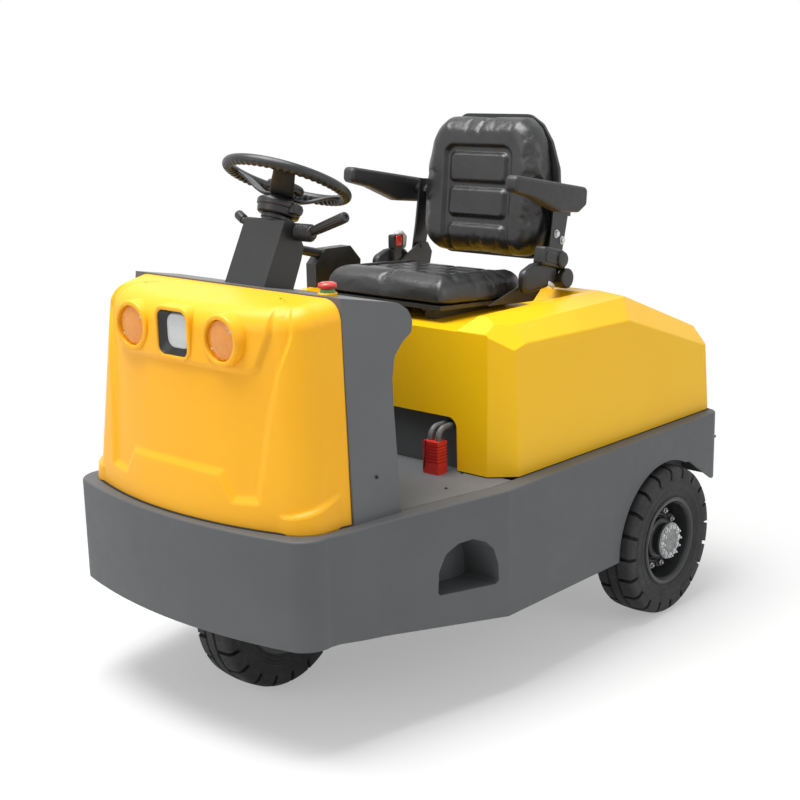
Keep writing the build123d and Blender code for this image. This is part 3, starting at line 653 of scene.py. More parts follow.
@dataclass(frozen=True)
class Lens:
    """A moulded lamp lens: tinted clear plastic with a grid of small prisms behind it; a lighter tint
    painted on the prisms' crests is a painted glint.
    """

    name: str
    colour: Colour
    # The lighter tint on the prism crests: a painted glint.
    shade: Colour
    pitch: float = 150.0
    clear: float = 0.35

    def build(self) -> bpy.types.Material:
        """Makes the material.

        Returns:
            The material.
        """
        nodes = Nodes(self.name)
        surface = nodes.add(
            "ShaderNodeBsdfPrincipled",
            Transmission_Weight=self.clear,
            IOR=1.49,
            Coat_Weight=0.8,
            Coat_Roughness=0.04,
        )
        place = nodes.add("ShaderNodeMapping", Rotation=(0.0, math.radians(45), 0.0))
        nodes.join(nodes.place.outputs["Object"], place.inputs["Vector"])
        across = nodes.add("ShaderNodeTexWave", Scale=self.pitch, bands_direction="X", wave_profile="SIN")
        along = nodes.add("ShaderNodeTexWave", Scale=self.pitch, bands_direction="Z", wave_profile="SIN")
        both = nodes.add("ShaderNodeMath", operation="MULTIPLY")
        for slot, wave in enumerate((across, along)):
            nodes.join(place.outputs["Vector"], wave.inputs["Vector"])
            nodes.join(wave.outputs["Fac"], both.inputs[slot])
        # The prism grid sets the colour from the tint to the lighter tint: painted glints. The relief below
        # is the real prism shape.
        nodes.join(nodes.blend(both.outputs["Value"], self.colour, self.shade), surface.inputs["Base Color"])
        nodes.join(nodes.spread(nodes.noise(60.0), 0.12, 0.2), surface.inputs["Roughness"])
        nodes.join(nodes.relief(both.outputs["Value"], 0.0008), surface.inputs["Normal"])
        nodes.join(surface.outputs["BSDF"], nodes.output.inputs["Surface"])
        return nodes.material


@dataclass
class Paints:
    """Every finish of the tractor, built once."""

    # A darker, more orange copy of the cover yellow: painted shade.
    cowl: bpy.types.Material
    hood: bpy.types.Material
    chassis: bpy.types.Material
    floor: bpy.types.Material
    dash: bpy.types.Material
    moulded: bpy.types.Material
    shell: bpy.types.Material
    arm: bpy.types.Material
    vinyl: bpy.types.Material
    tyre: bpy.types.Material
    black_steel: bpy.types.Material
    steel: bpy.types.Material
    bright: bpy.types.Material
    cast: bpy.types.Material
    plug: bpy.types.Material
    red: bpy.types.Material
    green: bpy.types.Material
    white: bpy.types.Material
    lead: bpy.types.Material
    amber: bpy.types.Material
    clear: bpy.types.Material
    mirror: bpy.types.Material
    # Black of the seal, deck screws and plug wire, and the painted seam shade round the cowl's foot.
    gap: bpy.types.Material


def make_paints() -> Paints:
    """Builds the finishes.

    Returns:
        The set of materials.
    """
    finishes = dict(
        # The cowl's yellow is a darker, more orange copy of the hood's cover yellow: painted shade of the
        # cowl's front.
        cowl=Finish(
            "CowlShadedYellow", (0.92, 0.43, 0.012), (0.94, 0.46, 0.014), (0.34, 0.4), mottle=3.0,
            grain=1400.0, grain_depth=0.00002, wave=24.0, wave_depth=0.0002, specular=0.3,
        ),
        hood=Finish(
            "HoodYellow", (0.93, 0.52, 0.004), (0.95, 0.55, 0.006), (0.3, 0.36), mottle=3.0,
            grain=1400.0, grain_depth=0.00002, wave=22.0, wave_depth=0.0002, specular=0.3,
        ),
        chassis=Finish(
            "ChassisGrey", (0.086, 0.091, 0.094), (0.096, 0.101, 0.104), (0.5, 0.58),
            grain=700.0, grain_depth=0.00006, specular=0.4,
        ),
        floor=Finish(
            "FloorGrey", (0.11, 0.117, 0.122), (0.13, 0.138, 0.143), (0.5, 0.6),
            grain=420.0, grain_depth=0.00015,
        ),
        dash=Finish(
            "DashGrey", (0.098, 0.102, 0.106), (0.108, 0.112, 0.116), (0.42, 0.5),
            grain=620.0, grain_depth=0.00008,
        ),
        moulded=Finish(
            "MouldedBlack", (0.012, 0.0125, 0.013), (0.018, 0.019, 0.02), (0.32, 0.42),
            grain=800.0, grain_depth=0.00008,
        ),
        shell=Finish(
            "ColumnBlack", (0.022, 0.023, 0.024), (0.028, 0.029, 0.03), (0.4, 0.5),
            grain=800.0, grain_depth=0.0001,
        ),
        arm=Finish(
            "ArmPadBlack", (0.014, 0.0145, 0.015), (0.022, 0.023, 0.024), (0.42, 0.54),
            grain=380.0, grain_depth=0.0004, mottle=12.0,
        ),
        vinyl=Vinyl(),
        tyre=Finish(
            "TyreRubber", (0.016, 0.0165, 0.017), (0.032, 0.032, 0.031), (0.6, 0.78), mottle=18.0,
            grain=500.0, grain_depth=0.00018, wave=60.0, wave_depth=0.0005, specular=0.35,
        ),
        black_steel=Finish(
            "BlackSteel", (0.016, 0.0165, 0.018), (0.024, 0.025, 0.026), (0.32, 0.42),
            grain=600.0, grain_depth=0.00006,
        ),
        steel=Finish(
            "PlainSteel", (0.45, 0.45, 0.46), (0.36, 0.36, 0.37), (0.3, 0.44), metallic=1.0,
            mottle=30.0, grain=1500.0, grain_depth=0.00003,
        ),
        bright=Finish(
            "ZincSteel", (0.66, 0.67, 0.68), (0.52, 0.53, 0.54), (0.24, 0.36), metallic=1.0,
            mottle=40.0, grain=1200.0, grain_depth=0.00004,
        ),
        cast=Finish(
            "CastHub", (0.3, 0.3, 0.3), (0.2, 0.2, 0.2), (0.42, 0.6), metallic=1.0,
            mottle=50.0, grain=700.0, grain_depth=0.00025,
        ),
        plug=Finish(
            "PlugRed", (0.62, 0.022, 0.018), (0.68, 0.03, 0.022), (0.34, 0.42),
            grain=900.0, grain_depth=0.00004,
        ),
        red=Finish("ButtonRed", (0.68, 0.03, 0.02), (0.72, 0.04, 0.025), (0.25, 0.32), coat=0.3),
        green=Finish("RingGreen", (0.12, 0.36, 0.12), (0.14, 0.4, 0.14), (0.35, 0.42)),
        white=Finish("KnobWhite", (0.62, 0.62, 0.6), (0.7, 0.7, 0.68), (0.3, 0.38)),
        lead=Finish(
            "LeadGrey", (0.1, 0.105, 0.11), (0.14, 0.145, 0.15), (0.4, 0.5), mottle=30.0,
        ),
        # Each lens's second colour is the painted glint on its prism crests.
        amber=Lens("LensAmber", (0.9, 0.26, 0.003), (1.0, 0.5, 0.02), pitch=90.0, clear=0.12),
        clear=Lens("LensClear", (0.86, 0.88, 0.9), (0.97, 0.98, 0.99), pitch=80.0, clear=0.3),
        mirror=Finish(
            "Reflector", (0.82, 0.83, 0.85), (0.76, 0.77, 0.79), (0.12, 0.2), metallic=1.0, mottle=25.0,
        ),
        # Black of the seal rubber, deck screws and plug wire, and painted shade in the seam round the cowl's
        # foot.
        gap=Finish("BlackAndSeamShade", (0.006, 0.006, 0.006), (0.01, 0.01, 0.01), (0.7, 0.8)),
    )
    return Paints(**{name: finish.build() for name, finish in finishes.items()})


# Sub-assemblies


@dataclass
class FrontCowl:
    """The moulded yellow nose cover, with its sunk panel, lamp holes and rounded top edge."""

    foot_z: float = 518.0
    top_z: float = 1010.0
    top_slope: float = 19.0 / 166.0
    foot_half: float = 395.0
    side_taper: float = 16.0
    foot_front_y: float = -823.0
    foot_rear_y: float = -636.0
    lean_in: float = 41.0
    lean_back: float = 46.0
    rear_lean: float = 25.0
    foot_bulge: float = 52.0
    bulge_loss: float = 8.0
    edge_radius: float = 52.0
    wall: float = 5.0
    lamp_z: float = 926.0
    lamp_x: float = 155.0
    lamp_hole: float = 51.0
    head_half_x: float = 54.0
    head_half_z: float = 54.0
    panel_depth: float = 10.0
    flare: float = 12.0
    snap: float = 2.3
    spare: float = 0.2
    columns: int = 145
    wall_rows: int = 118
    edge_rows: int = 17
    top_rows: int = 9

    def plan(self, share: float, spread: Array) -> Array:
        """Plan of the wall at one height: straight side, corner arc, bulged front, and back again.

        The half plan is a side line and two arcs through given points; the other half mirrors it.

        Args:
            share: Height as a share of the wall, 0 at the foot.
            spread: Shares 0 to 1 along each of the three stretches.

        Returns:
            Points (n, 2) from the left rear to the right rear.
        """
        half = self.foot_half - self.lean_in * share
        front = self.foot_front_y + self.lean_back * share
        rear = self.foot_rear_y + self.rear_lean * share
        bulge = self.foot_bulge - self.bulge_loss * share
        nose = np.array([half - self.side_taper - 54.0, front + bulge])
        side = np.array([half - self.side_taper, front + bulge + 71.0])
        corner = np.array([half - self.side_taper - 17.0, front + bulge + 29.0])
        start = np.array([half, rear])
        line = start + (side - start) * spread[::6][:, None]
        bend = self.arc(side, corner, nose, spread[::2])
        face = self.arc(nose, np.array([0.0, front]), nose * (-1, 1), spread)
        near = np.concatenate([line[:-1], bend])
        return np.concatenate([near[:-1], face, (near * (-1.0, 1.0))[::-1][1:]])

    @staticmethod
    def arc(a: Array, m: Array, b: Array, spread: Array) -> Array:
        """Points of the circle from a over m to b, at even shares of its angle.

        Args:
            a: Start.
            m: A point on the way.
            b: End.
            spread: Shares 0 to 1.

        Returns:
            Points (n, 2).
        """
        system = 2 * np.array([m - a, b - a])
        centre = np.linalg.solve(system, np.array([m @ m - a @ a, b @ b - a @ a]))
        start, middle, end = (math.atan2(*(p - centre)[::-1]) for p in (a, m, b))
        turn = (end - start) % (2 * math.pi)
        if (middle - start) % (2 * math.pi) > turn:
            turn -= 2 * math.pi
        angle = start + turn * spread
        radius = np.linalg.norm(a - centre)
        return centre + radius * np.stack([np.cos(angle), np.sin(angle)], -1)

    def sunk_panel(self, x: Array, z: Array) -> Array:
        """Depth of the big sunk panel: a step along its outline, wide at the foot, fine at the lamps.

        Args:
            x: Distance from the middle, either side.
            z: Height.

        Returns:
            Depth of each point.
        """
        half = [
            (0, 868), (222, 862), (240, 872), (272, 962), (318, 962), (312, 925), (292, 857), (277, 768),
            (268, 680), (256, 579), (190, 574), (152, 630), (0, 634),
        ]
        ring = half + [(-px, pz) for px, pz in reversed(half[1:-1])]
        distance = outline_distance(np.abs(x), z, ring)
        width = 7.0 + 12.0 * ramp(z, 930.0, 760.0)
        return self.panel_depth * ramp(-distance, -0.35 * width, 0.65 * width)

    def top_height(self, y: Array) -> Array:
        """Height of the sloping top over a place: z = top - slope (rear - y)."""
        return self.top_z - self.top_slope * (self.foot_rear_y + self.rear_lean - y)

    def holes(self, x: Array, z: Array) -> Array:
        """Distance to the lamps' holes: two circles and a rounded square."""
        gaps = rounded_box_distance(x, z - self.lamp_z, self.head_half_x, self.head_half_z, 17.0)
        for side in (-1, 1):
            gaps = np.minimum(gaps, np.hypot(x - side * self.lamp_x, z - self.lamp_z) - self.lamp_hole)
        return gaps

    def corner_flare(self, along: Array, z: Array) -> Array:
        """Swell of the foot's corners under a crescent line, fading out at both of its tips."""
        share = np.clip((along - 318.0) / 150.0, 0.0, 1.0)
        swell = np.sin(math.pi * share) ** 0.8
        line = 556.0 + 38.0 * share**1.6
        return self.flare * swell * ramp(line - z, -6.0 * swell - 0.5, 6.0 * swell + 0.5)

    def grid(self) -> Array:
        """The whole skin: a leaning wall with its relief, a quarter round, and the sloping top.

        The wall is (1 - t) foot plan + t top plan; the round goes inwards by R(1 - cos a) and up by
        R sin a; the top runs straight to the rear edge.

        Returns:
            Grid (rows up, columns round, 3).
        """
        spread = np.linspace(0, 1, self.columns)
        foot, top = self.plan(0.0, spread), self.plan(1.0, spread)
        step = np.linalg.norm(np.diff(foot, axis=0), axis=1)
        length = np.concatenate([[0], np.cumsum(step)])
        along = np.abs(length - length[-1] / 2)
        wall_top = self.top_height(top[:, 1]) - self.edge_radius
        rise = np.linspace(0, 1, self.wall_rows)[:, None]
        z = self.foot_z + rise * (wall_top - self.foot_z)[None]
        share = ((z - self.foot_z) / (self.top_z - self.foot_z))[..., None]
        wall = foot[None] * (1 - share) + top[None] * share
        tangent = np.gradient(wall, axis=1)
        tangent /= np.linalg.norm(tangent, axis=2, keepdims=True)
        outward = np.stack([-tangent[..., 1], tangent[..., 0]], -1)
        if outward[0, len(foot) // 2, 1] > 0:
            outward = -outward
        x = wall[..., 0]
        front = ramp(-wall[..., 1], 640.0, 700.0)
        height = self.corner_flare(np.broadcast_to(along, z.shape), z) - self.sunk_panel(x, z) * front
        wall = wall + outward * height[..., None]
        inward = -outward[-1]
        angle = np.linspace(0, math.pi / 2, self.edge_rows)[1:, None, None]
        ring = wall[-1][None] + inward[None] * self.edge_radius * (1 - np.cos(angle))
        lift = self.edge_radius * np.sin(angle[..., 0])
        ring_z = self.top_height(ring[..., 1]) - self.edge_radius + lift
        count = ring.shape[1]
        reach = ring[-1, 0, 0]
        rear = np.stack([np.linspace(reach, -reach, count), np.full(count, ring[-1, 0, 1])], -1)
        pull = np.linspace(0, 1, self.top_rows)[1:, None, None]
        lid = ring[-1][None] * (1 - pull) + rear[None] * pull
        flat = np.concatenate([wall, ring, lid])
        heights = np.concatenate([z, ring_z, self.top_height(lid[..., 1])])
        return np.concatenate([flat, heights[..., None]], 2)

    def build(self, paints: Paints) -> None:
        """Makes the skin with its lamp holes, and gives it its wall.

        Points within snap of a hole's edge move onto it, and the faces inside a hole are left out.

        Args:
            paints: The finishes.
        """
        grid = self.grid()
        x, z = grid[..., 0], grid[..., 2]
        front = grid[..., 1] < -700
        distance = np.where(front, self.holes(x, z), 99.0)
        step = 0.5
        slope_x = (self.holes(x + step, z) - self.holes(x - step, z)) / (2 * step)
        slope_z = (self.holes(x, z + step) - self.holes(x, z - step)) / (2 * step)
        near = np.abs(distance) < self.snap
        grid[..., 0] = np.where(near, x - distance * slope_x, x)
        grid[..., 2] = np.where(near, z - distance * slope_z, z)
        mesh = bpy.data.meshes.new("cowl_skin")
        patch = Patch(grid)
        keep = np.where(near, 0.0, distance)
        centre = (keep[:-1, :-1] + keep[1:, :-1] + keep[1:, 1:] + keep[:-1, 1:]) / 4
        faces = [face for face, gap in zip(patch.faces(0), centre.ravel()) if gap > -self.spare]
        mesh.from_pydata((grid.reshape(-1, 3) * MM).tolist(), [], faces)
        merge(mesh, outward=False)
        self.face_forward(mesh)
        self.drop_loose(mesh)
        # The cowl's finish holds painted shade: a darker copy of the cover yellow.
        piece = dress(mesh, "cowl_skin", paints.cowl, "chassis", 60.0, ["front_cowl"])
        wall = piece.modifiers.new("wall", "SOLIDIFY")
        wall.thickness = self.wall * MM
        wall.offset = -1.0

    @staticmethod
    def face_forward(mesh: bpy.types.Mesh) -> None:
        """Turns the open skin's faces so that the front ones point to -Y."""
        normals = np.zeros(len(mesh.polygons) * 3)
        mesh.polygons.foreach_get("normal", normals)
        if normals.reshape(-1, 3)[:, 1].mean() > 0:
            mesh.flip_normals()

    @staticmethod
    def drop_loose(mesh: bpy.types.Mesh) -> None:
        """Removes vertices that no face uses."""
        work = bmesh.new()
        work.from_mesh(mesh)
        loose = [v for v in work.verts if not v.link_faces]
        bmesh.ops.delete(work, geom=loose, context="VERTS")
        work.to_mesh(mesh)
        work.free()


@dataclass
class BumperSkin:
    """The skirt's painted nose, fuller at its corners, with the flat ledge round the cowl's foot."""

    top_z: float = 518.4
    low_z: float = 265.6
    nose_y: float = -847.0
    nose_radius: float = 1403.0
    corner_x: float = 362.0
    corner_middle: tuple[float, float] = (397.0, -776.0)
    side_front: tuple[float, float] = (398.0, -758.0)
    side_rear: tuple[float, float] = (507.0, -223.0)
    side_end_y: float = -555.0
    sunk: float = 1.5
    lift: float = 6.5
    slope_y: float = -701.0
    slope_drop: float = 63.0
    edge: float = 6.0

    def side_x(self, y: Array) -> Array:
        """The chassis' straight side, and the skin's small lift over it, which grows forwards."""
        (front_x, front_y), (rear_x, rear_y) = self.side_front, self.side_rear
        side = front_x + (rear_x - front_x) * (y - front_y) / (rear_y - front_y)
        return side - self.sunk + self.lift * ramp(-y, 560.0, 650.0)

    def plan(self) -> tuple[Array, Array]:
        """The skin's outline from its left end round the nose to its right end, and its depth inwards.

        The nose is an arc, y = n + x^2 / (2 R), and each corner is an arc through three points.

        Returns:
            Points (n, 2) and the distance (n,) from there to the skin's hidden inner face.
        """
        side_y = np.linspace(self.side_end_y, -725.0, 40)
        side = np.stack([self.side_x(side_y), side_y], 1)
        nose_x = np.linspace(self.corner_x, 0.0, 60)
        nose = np.stack([nose_x, self.nose_y + nose_x**2 / (2 * self.nose_radius)], 1)
        bend = FrontCowl.arc(side[-1], np.array(self.corner_middle), nose[0], np.linspace(0, 1, 24))
        half = np.concatenate([side[:-1], bend[:-1], nose])
        places = [0, 20, 39, 50, 62, 92, len(half) - 1]
        inside = np.interp(np.arange(len(half)), places, [3, 8, 17, 42, 33, 15, 7])
        mirror = half[::-1][1:] * (-1.0, 1.0)
        return np.concatenate([half, mirror]), np.concatenate([inside, inside[::-1][1:]])

    def build(self, paints: Paints) -> None:
        """Makes the skin as a closed band: up its face, over a rounded edge, in along the ledge.

        Args:
            paints: The finishes.
        """
        outline, inside = self.plan()
        along = np.gradient(outline, axis=0)
        along /= np.linalg.norm(along, axis=1, keepdims=True)
        outward = np.stack([-along[:, 1], along[:, 0]], 1)
        if outward[len(outline) // 2, 1] > 0:
            outward = -outward
        behind = np.maximum(outline[:, 1] - self.slope_y, 0.0)
        low = self.low_z - behind * self.slope_drop / (self.side_rear[1] - self.slope_y)
        turn = np.linspace(0, math.pi / 2, 8)
        insets = [inside, np.zeros_like(inside)]
        insets += [np.minimum(self.edge * (1 - math.cos(t)), 0.8 * inside) for t in turn] + [inside]
        tops = [self.top_z - self.edge * (1 - math.sin(t)) for t in turn] + [self.top_z]
        heights = [low, low] + [np.full_like(low, top) for top in tops]
        rings = [
            np.column_stack([outline - outward * inset[:, None], height])
            for inset, height in zip(insets, heights)
        ]
        patch = Patch(np.stack(rings, 1), wrap_columns=True, caps=True)
        make_piece("bumper_skin", patch, paints.chassis, "chassis", 40.0)


@dataclass
class Lamps:
    """The clear headlamp and the two amber turn lamps, each in a bezel that runs back into the cowl."""

    face_y: float = -776.0
    bezel_y: float = -787.0
    bezel_back: float = 74.0
    centre_z: float = 926.0
    turn_x: float = 155.0
    turn_radius: float = 45.5
    head_half: float = 50.0
    bezel_wall: float = 12.5
    dome: float = 7.0
    bowl_depth: float = 22.0

    def front(self, x: float, y: float) -> Matrix:
        """A frame whose Z points forwards, at a lamp's centre."""
        return at(x, y, self.centre_z) @ turned("X", 90)

    def bezels(self, paints: Paints) -> None:
        """The yellow rings round the lamps: two turned ones and a rounded square one.

        Args:
            paints: The finishes.
        """
        inner, outer, back = self.turn_radius + 0.8, self.turn_radius + self.bezel_wall, -self.bezel_back
        ring = [
            (inner, back), (inner, -3.0), (inner + 0.6, -0.9), (inner + 2.4, 0.0), (outer - 5.0, 0.0),
            (outer - 2.2, -0.9), (outer - 0.6, -2.8), (outer, -5.5), (outer, back), (inner, back),
        ]
        rings = [spin(ring, self.front(side * self.turn_x, self.bezel_y), 96) for side in (-1, 1)]
        section = [
            (50.5, back), (50.5, -2.5), (51.2, -0.8), (53.0, 0.0), (57.0, 0.0), (59.4, -0.9), (60.6, -2.8),
            (61.0, -5.0), (61.0, back),
        ]
        loops = stacked([(rounded_rectangle(half, half, half - 32.0, 8), depth) for half, depth in section])
        place = self.front(0, self.bezel_y - 4)
        square = Patch(placed(loops, place), wrap_rows=True, wrap_columns=True)
        make_piece("lamp_bezels", [*rings, square], paints.cowl, "chassis", 50.0)

    def turn_lamp(self, name: str, x: float, paints: Paints) -> None:
        """A domed lens in a thin rim, over a silvered bowl.

        The dome rises by h (1 - (r/R)^2) and the bowl sinks by d (1 - (r/R)^2).

        Args:
            name: The construction node it stands for.
            x: Its place across.
            paints: The finishes.
        """
        r = self.turn_radius
        rho = np.linspace(0, r - 2.5, 16)
        dome = [(p, 2.0 + self.dome * (1 - (p / r) ** 2)) for p in rho]
        skirt = [(r - 0.8, 2.0), (r, 0.5), (r, -18.0), (r - 3, -18.0)]
        inner = [(p, -0.8 + self.dome * (1 - (p / r) ** 2)) for p in rho[::-1]]
        lens = spin(dome + skirt + inner, self.front(x, self.face_y), 72)
        make_piece(name + "_lens", lens, paints.amber, "chassis", 50.0, [name])
        bowl = [(p, -8.0 - self.bowl_depth * (1 - (p / r) ** 2)) for p in np.linspace(0, r - 4, 14)]
        back = [(p, z - 2.0) for p, z in bowl[::-1]]
        reflector = spin(bowl + back, self.front(x, self.face_y), 48)
        make_piece(name + "_bowl", reflector, paints.mirror, "chassis", 50.0)
        head = [(0, -2), (3, -2), (3, 1), (2, 2), (0.8, 2.2), (0.5, 1.2), (0, 1.2)]
        screws = []
        for angle in (35.0, 215.0):
            dx = (r - 8) * math.cos(math.radians(angle))
            dz = (r - 8) * math.sin(math.radians(angle))
            place = at(x + dx, self.face_y - 3.4, self.centre_z + dz) @ turned("X", 90)
            screws.append(spin(head, place, 16))
        make_piece(name + "_screws", screws, paints.bright, "chassis")

    def head_lamp(self, paints: Paints) -> None:
        """A black frame round a clear lens that sits off its middle, over a silvered plate.

        Args:
            paints: The finishes.
        """
        outer = rounded_rectangle(self.head_half, self.head_half, 17, 8)
        inner = rounded_outline([(-34, -37), (43, -37), (43, 43), (-34, 43)], 24, 8)
        rings = stacked([
            (outer, -22.0), (outer, 6.0), (outer * 0.985, 7.5), (outer * 0.965, 7.5), (outer * 0.95, 6.0),
            (inner * 1.03, -5.0), (inner, -5.0), (inner, -22.0),
        ])
        place = self.front(0, self.face_y - 4)
        rim = Patch(placed(rings, place), wrap_rows=True, wrap_columns=True)
        make_piece("headlamp_rim", rim, paints.moulded, "chassis", 40.0, ["headlamp"])
        lens = bar(inner, 9.0, 4.0, self.front(0, self.face_y + 9))
        make_piece("headlamp_lens", lens, paints.clear, "chassis", 50.0)
        back = bar(inner * 0.98, 3.0, 1.0, self.front(0, self.face_y + 30))
        make_piece("headlamp_bowl", back, paints.mirror, "chassis", 50.0)

    def build(self, paints: Paints) -> None:
        """Makes the bezels and the three lamps.

        Args:
            paints: The finishes.
        """
        self.bezels(paints)
        self.turn_lamp("turn_lamp_right", -self.turn_x, paints)
        self.turn_lamp("turn_lamp_left", self.turn_x, paints)
        self.head_lamp(paints)


@dataclass
class Wheel:
    """A solid rubber tyre with shoulder blocks, on a deep black rim with a bolted hub."""

    name: str
    body: str
    x: float
    y: float
    outside: int
    z: float = 207.5
    radius: float = 207.5
    width: float = 115.0
    shoulder: float = 16.0
    bead: float = 121.0
    blocks: int = 20
    slot: float = 9.5
    slot_depth: float = 12.0
    slot_reach: float = 40.0
    groove_depth: float = 7.0
    side_rings: tuple[float, ...] = (130.0, 139.0, 146.0, 164.0, 171.0)
    driven: bool = True

    def frame(self) -> Matrix:
        """A frame whose Z is the axle, pointing to the wheel's outside."""
        return at(self.x, self.y, self.z) @ turned("Y", 90.0 * self.outside)

    def profile(self) -> tuple[Array, Array, Array]:
        """The section from one bead over the tread to the other, by its running length.

        It is a sidewall that leans in by 6 (1 - t)^2 to its bead and swells by 1.5 sin(pi t), with
        fine raised rings, a quarter round shoulder, and a tread that drops by 3 (w/W)^2.

        Returns:
            Radius, height along the axle, and distance from the tread's middle, each (n,).
        """
        half = self.width / 2
        t = np.linspace(0, 1, 41)
        side_r = self.bead + (self.radius - self.shoulder - 3 - self.bead) * t
        side_w = half - 6.0 * (1 - t) ** 2 + 1.5 * np.sin(math.pi * t)
        for ring_r in self.side_rings:
            side_w = side_w + 1.3 * np.exp(-(((side_r - ring_r) / 2.0) ** 2))
        a = np.linspace(0, math.pi / 2, 8)[1:]
        bend_r = self.radius - 3 - self.shoulder + self.shoulder * np.sin(a)
        bend_w = half - self.shoulder * (1 - np.cos(a))
        flat_w = np.linspace(half - self.shoulder, 0, 16)[1:]
        flat_r = self.radius - 3.0 * (flat_w / (half - self.shoulder)) ** 2
        r = np.concatenate([side_r, bend_r, flat_r])
        w = np.concatenate([side_w, bend_w, flat_w])
        r, w = np.concatenate([r, r[-2::-1]]), np.concatenate([w, -w[-2::-1]])
        run = np.concatenate([[0], np.cumsum(np.hypot(np.diff(r), np.diff(w)))])
        return r, w, run - run[-1] / 2

    def tread(self) -> Array:
        """The tyre's skin: the profile turned about the axle, sunk where a slot or groove runs.

        A slot is |angle - k p| r < slot/2, from the shoulder to its reach; the other side's are half
        a pitch on; a groove on each side runs round past their inner ends.

        Returns:
            Grid (round, across, 3).
        """
        r, w, run = self.profile()
        pitch = 2 * math.pi / self.blocks
        half_slot = self.slot / self.radius / 2
        wall = 0.9 / self.radius
        edge = [-half_slot - wall, -half_slot, 0.0, half_slot, half_slot + wall]
        other = [v + pitch / 2 for v in edge]
        between = list(np.linspace(half_slot + wall, pitch / 2 - half_slot - wall, 6)[1:-1])
        lines = np.array(sorted(edge + between + other + [pitch - v for v in between]))
        angle = (np.arange(self.blocks)[:, None] * pitch + lines[None]).ravel()
        half = self.width / 2
        shear = 0.035 * np.clip(np.abs(run) / (half + 10) - 0.3, 0, 1)
        turn = angle[:, None] + shear[None]
        phase = np.mod(angle[:, None] + np.zeros_like(run)[None], pitch)
        first = np.minimum(phase, pitch - phase) * self.radius
        second = np.abs(phase - pitch / 2) * self.radius
        near = np.where(run[None] < 0, first, second)
        across = 1 - ramp(near, self.slot / 2, self.slot / 2 + 0.9)
        reach = half - self.slot_reach
        band = ramp(np.abs(run), reach, reach + 2.5) * (1 - ramp(np.abs(run), half + 18, half + 26))
        depth = self.slot_depth * across * band[None]
        ring = 1 - ramp(np.abs(np.abs(run) - reach + 3), 2.0, 3.2)
        depth = np.maximum(depth, self.groove_depth * ring[None])
        tilt_r = np.gradient(w)
        tilt_w = -np.gradient(r)
        size = np.hypot(tilt_r, tilt_w)
        tilt_r, tilt_w = tilt_r / size, tilt_w / size
        if tilt_r[len(r) // 2] < 0:
            tilt_r, tilt_w = -tilt_r, -tilt_w
        radius = r[None] - depth * tilt_r[None]
        height = w[None] - depth * tilt_w[None]
        ring = np.broadcast_arrays(radius * np.cos(turn), radius * np.sin(turn), height)
        return np.stack(ring, -1)

    def build_tyre(self, paints: Paints) -> None:
        """Makes the tyre, closed under its beads.

        Args:
            paints: The finishes.
        """
        skin = self.tread()
        inwards = (self.bead - 12) / self.bead
        pull = np.array([inwards, inwards, 1.0])
        grid = np.concatenate([skin[:, :1] * pull, skin, skin[:, -1:] * pull], 1)
        patch = Patch(placed(grid, self.frame()), wrap_rows=True, wrap_columns=True)
        make_piece(self.name + "_tread", patch, paints.tyre, self.body, 32.0, [self.name])

    def build_rim(self, node: str, paints: Paints) -> None:
        """Makes the rim: a lipped barrel and a dished disc, as one turned section.

        Args:
            node: The construction node it stands for.
            paints: The finishes.
        """
        lip, seat = self.bead, self.bead - 11
        if self.driven:
            section = [
                (22, 8), (60, 8), (64, 12), (70, 12), (88, 6), (96, -4), (100, 10), (103, 34), (106, 46),
                (112, 50), (lip, 51), (lip + 1, 54), (lip - 3, 57), (lip - 10, 55), (lip - 14, 49),
                (seat - 3, 44), (seat - 3, -44), (lip - 10, -50), (lip, -52), (lip, -55), (lip - 12, -54),
                (96, -40), (94, -16), (84, -4), (66, -2), (22, -2),
            ]
        else:
            section = [
                (22, 5), (60, 5), (92, 0), (100, 12), (104, 40), (112, 50), (lip, 51), (lip + 1, 54),
                (lip - 3, 57), (lip - 12, 54), (seat - 4, 44), (seat - 4, -44), (lip - 12, -54),
                (lip, -55), (lip, -51), (112, -50), (104, -40), (100, -12), (92, -6), (60, -5), (22, -5),
            ]
        grid = placed(revolve(np.array(section, float), 72), self.frame())
        rim = Patch(grid, wrap_rows=True, wrap_columns=True)
        make_piece(node + "_dish", rim, paints.black_steel, self.body, 30.0, [node])

    def bolt_ring(
        self, count: int, radius: float, height: float, head: float, rise: float, start: float = 0.0
    ) -> list[Patch]:
        """Six-sided heads on washers, evenly round a circle, each turned a little further.

        Args:
            count: How many.
            radius: Circle they stand on.
            height: Height of the face they seat on.
            head: Radius across corners.
            rise: Height of the head.
            start: Angle of the first, in degrees.

        Returns:
            The patches.
        """
        wide, thin, tip = head * 1.3, head * 0.5, head * 0.4
        washer = [(0, 0), (wide, 0), (wide, 1.6), (0, 1.6)]
        hexagon = [(0, 1.6), (head, 1.6), (head, rise - 1), (head - 1.2, rise), (0, rise)]
        stud = [(0, rise), (thin, rise), (thin, rise + 4), (tip, rise + 5), (0, rise + 5)]
        made = []
        for i in range(count):
            place = self.frame() @ turned("Z", start + 360.0 * i / count) @ at(radius, 0, height)
            made.append(spin(washer, place, 16))
            made.append(spin(hexagon, place @ turned("Z", 17 * i), 6))
            made.append(spin(stud, place, 10))
        return made

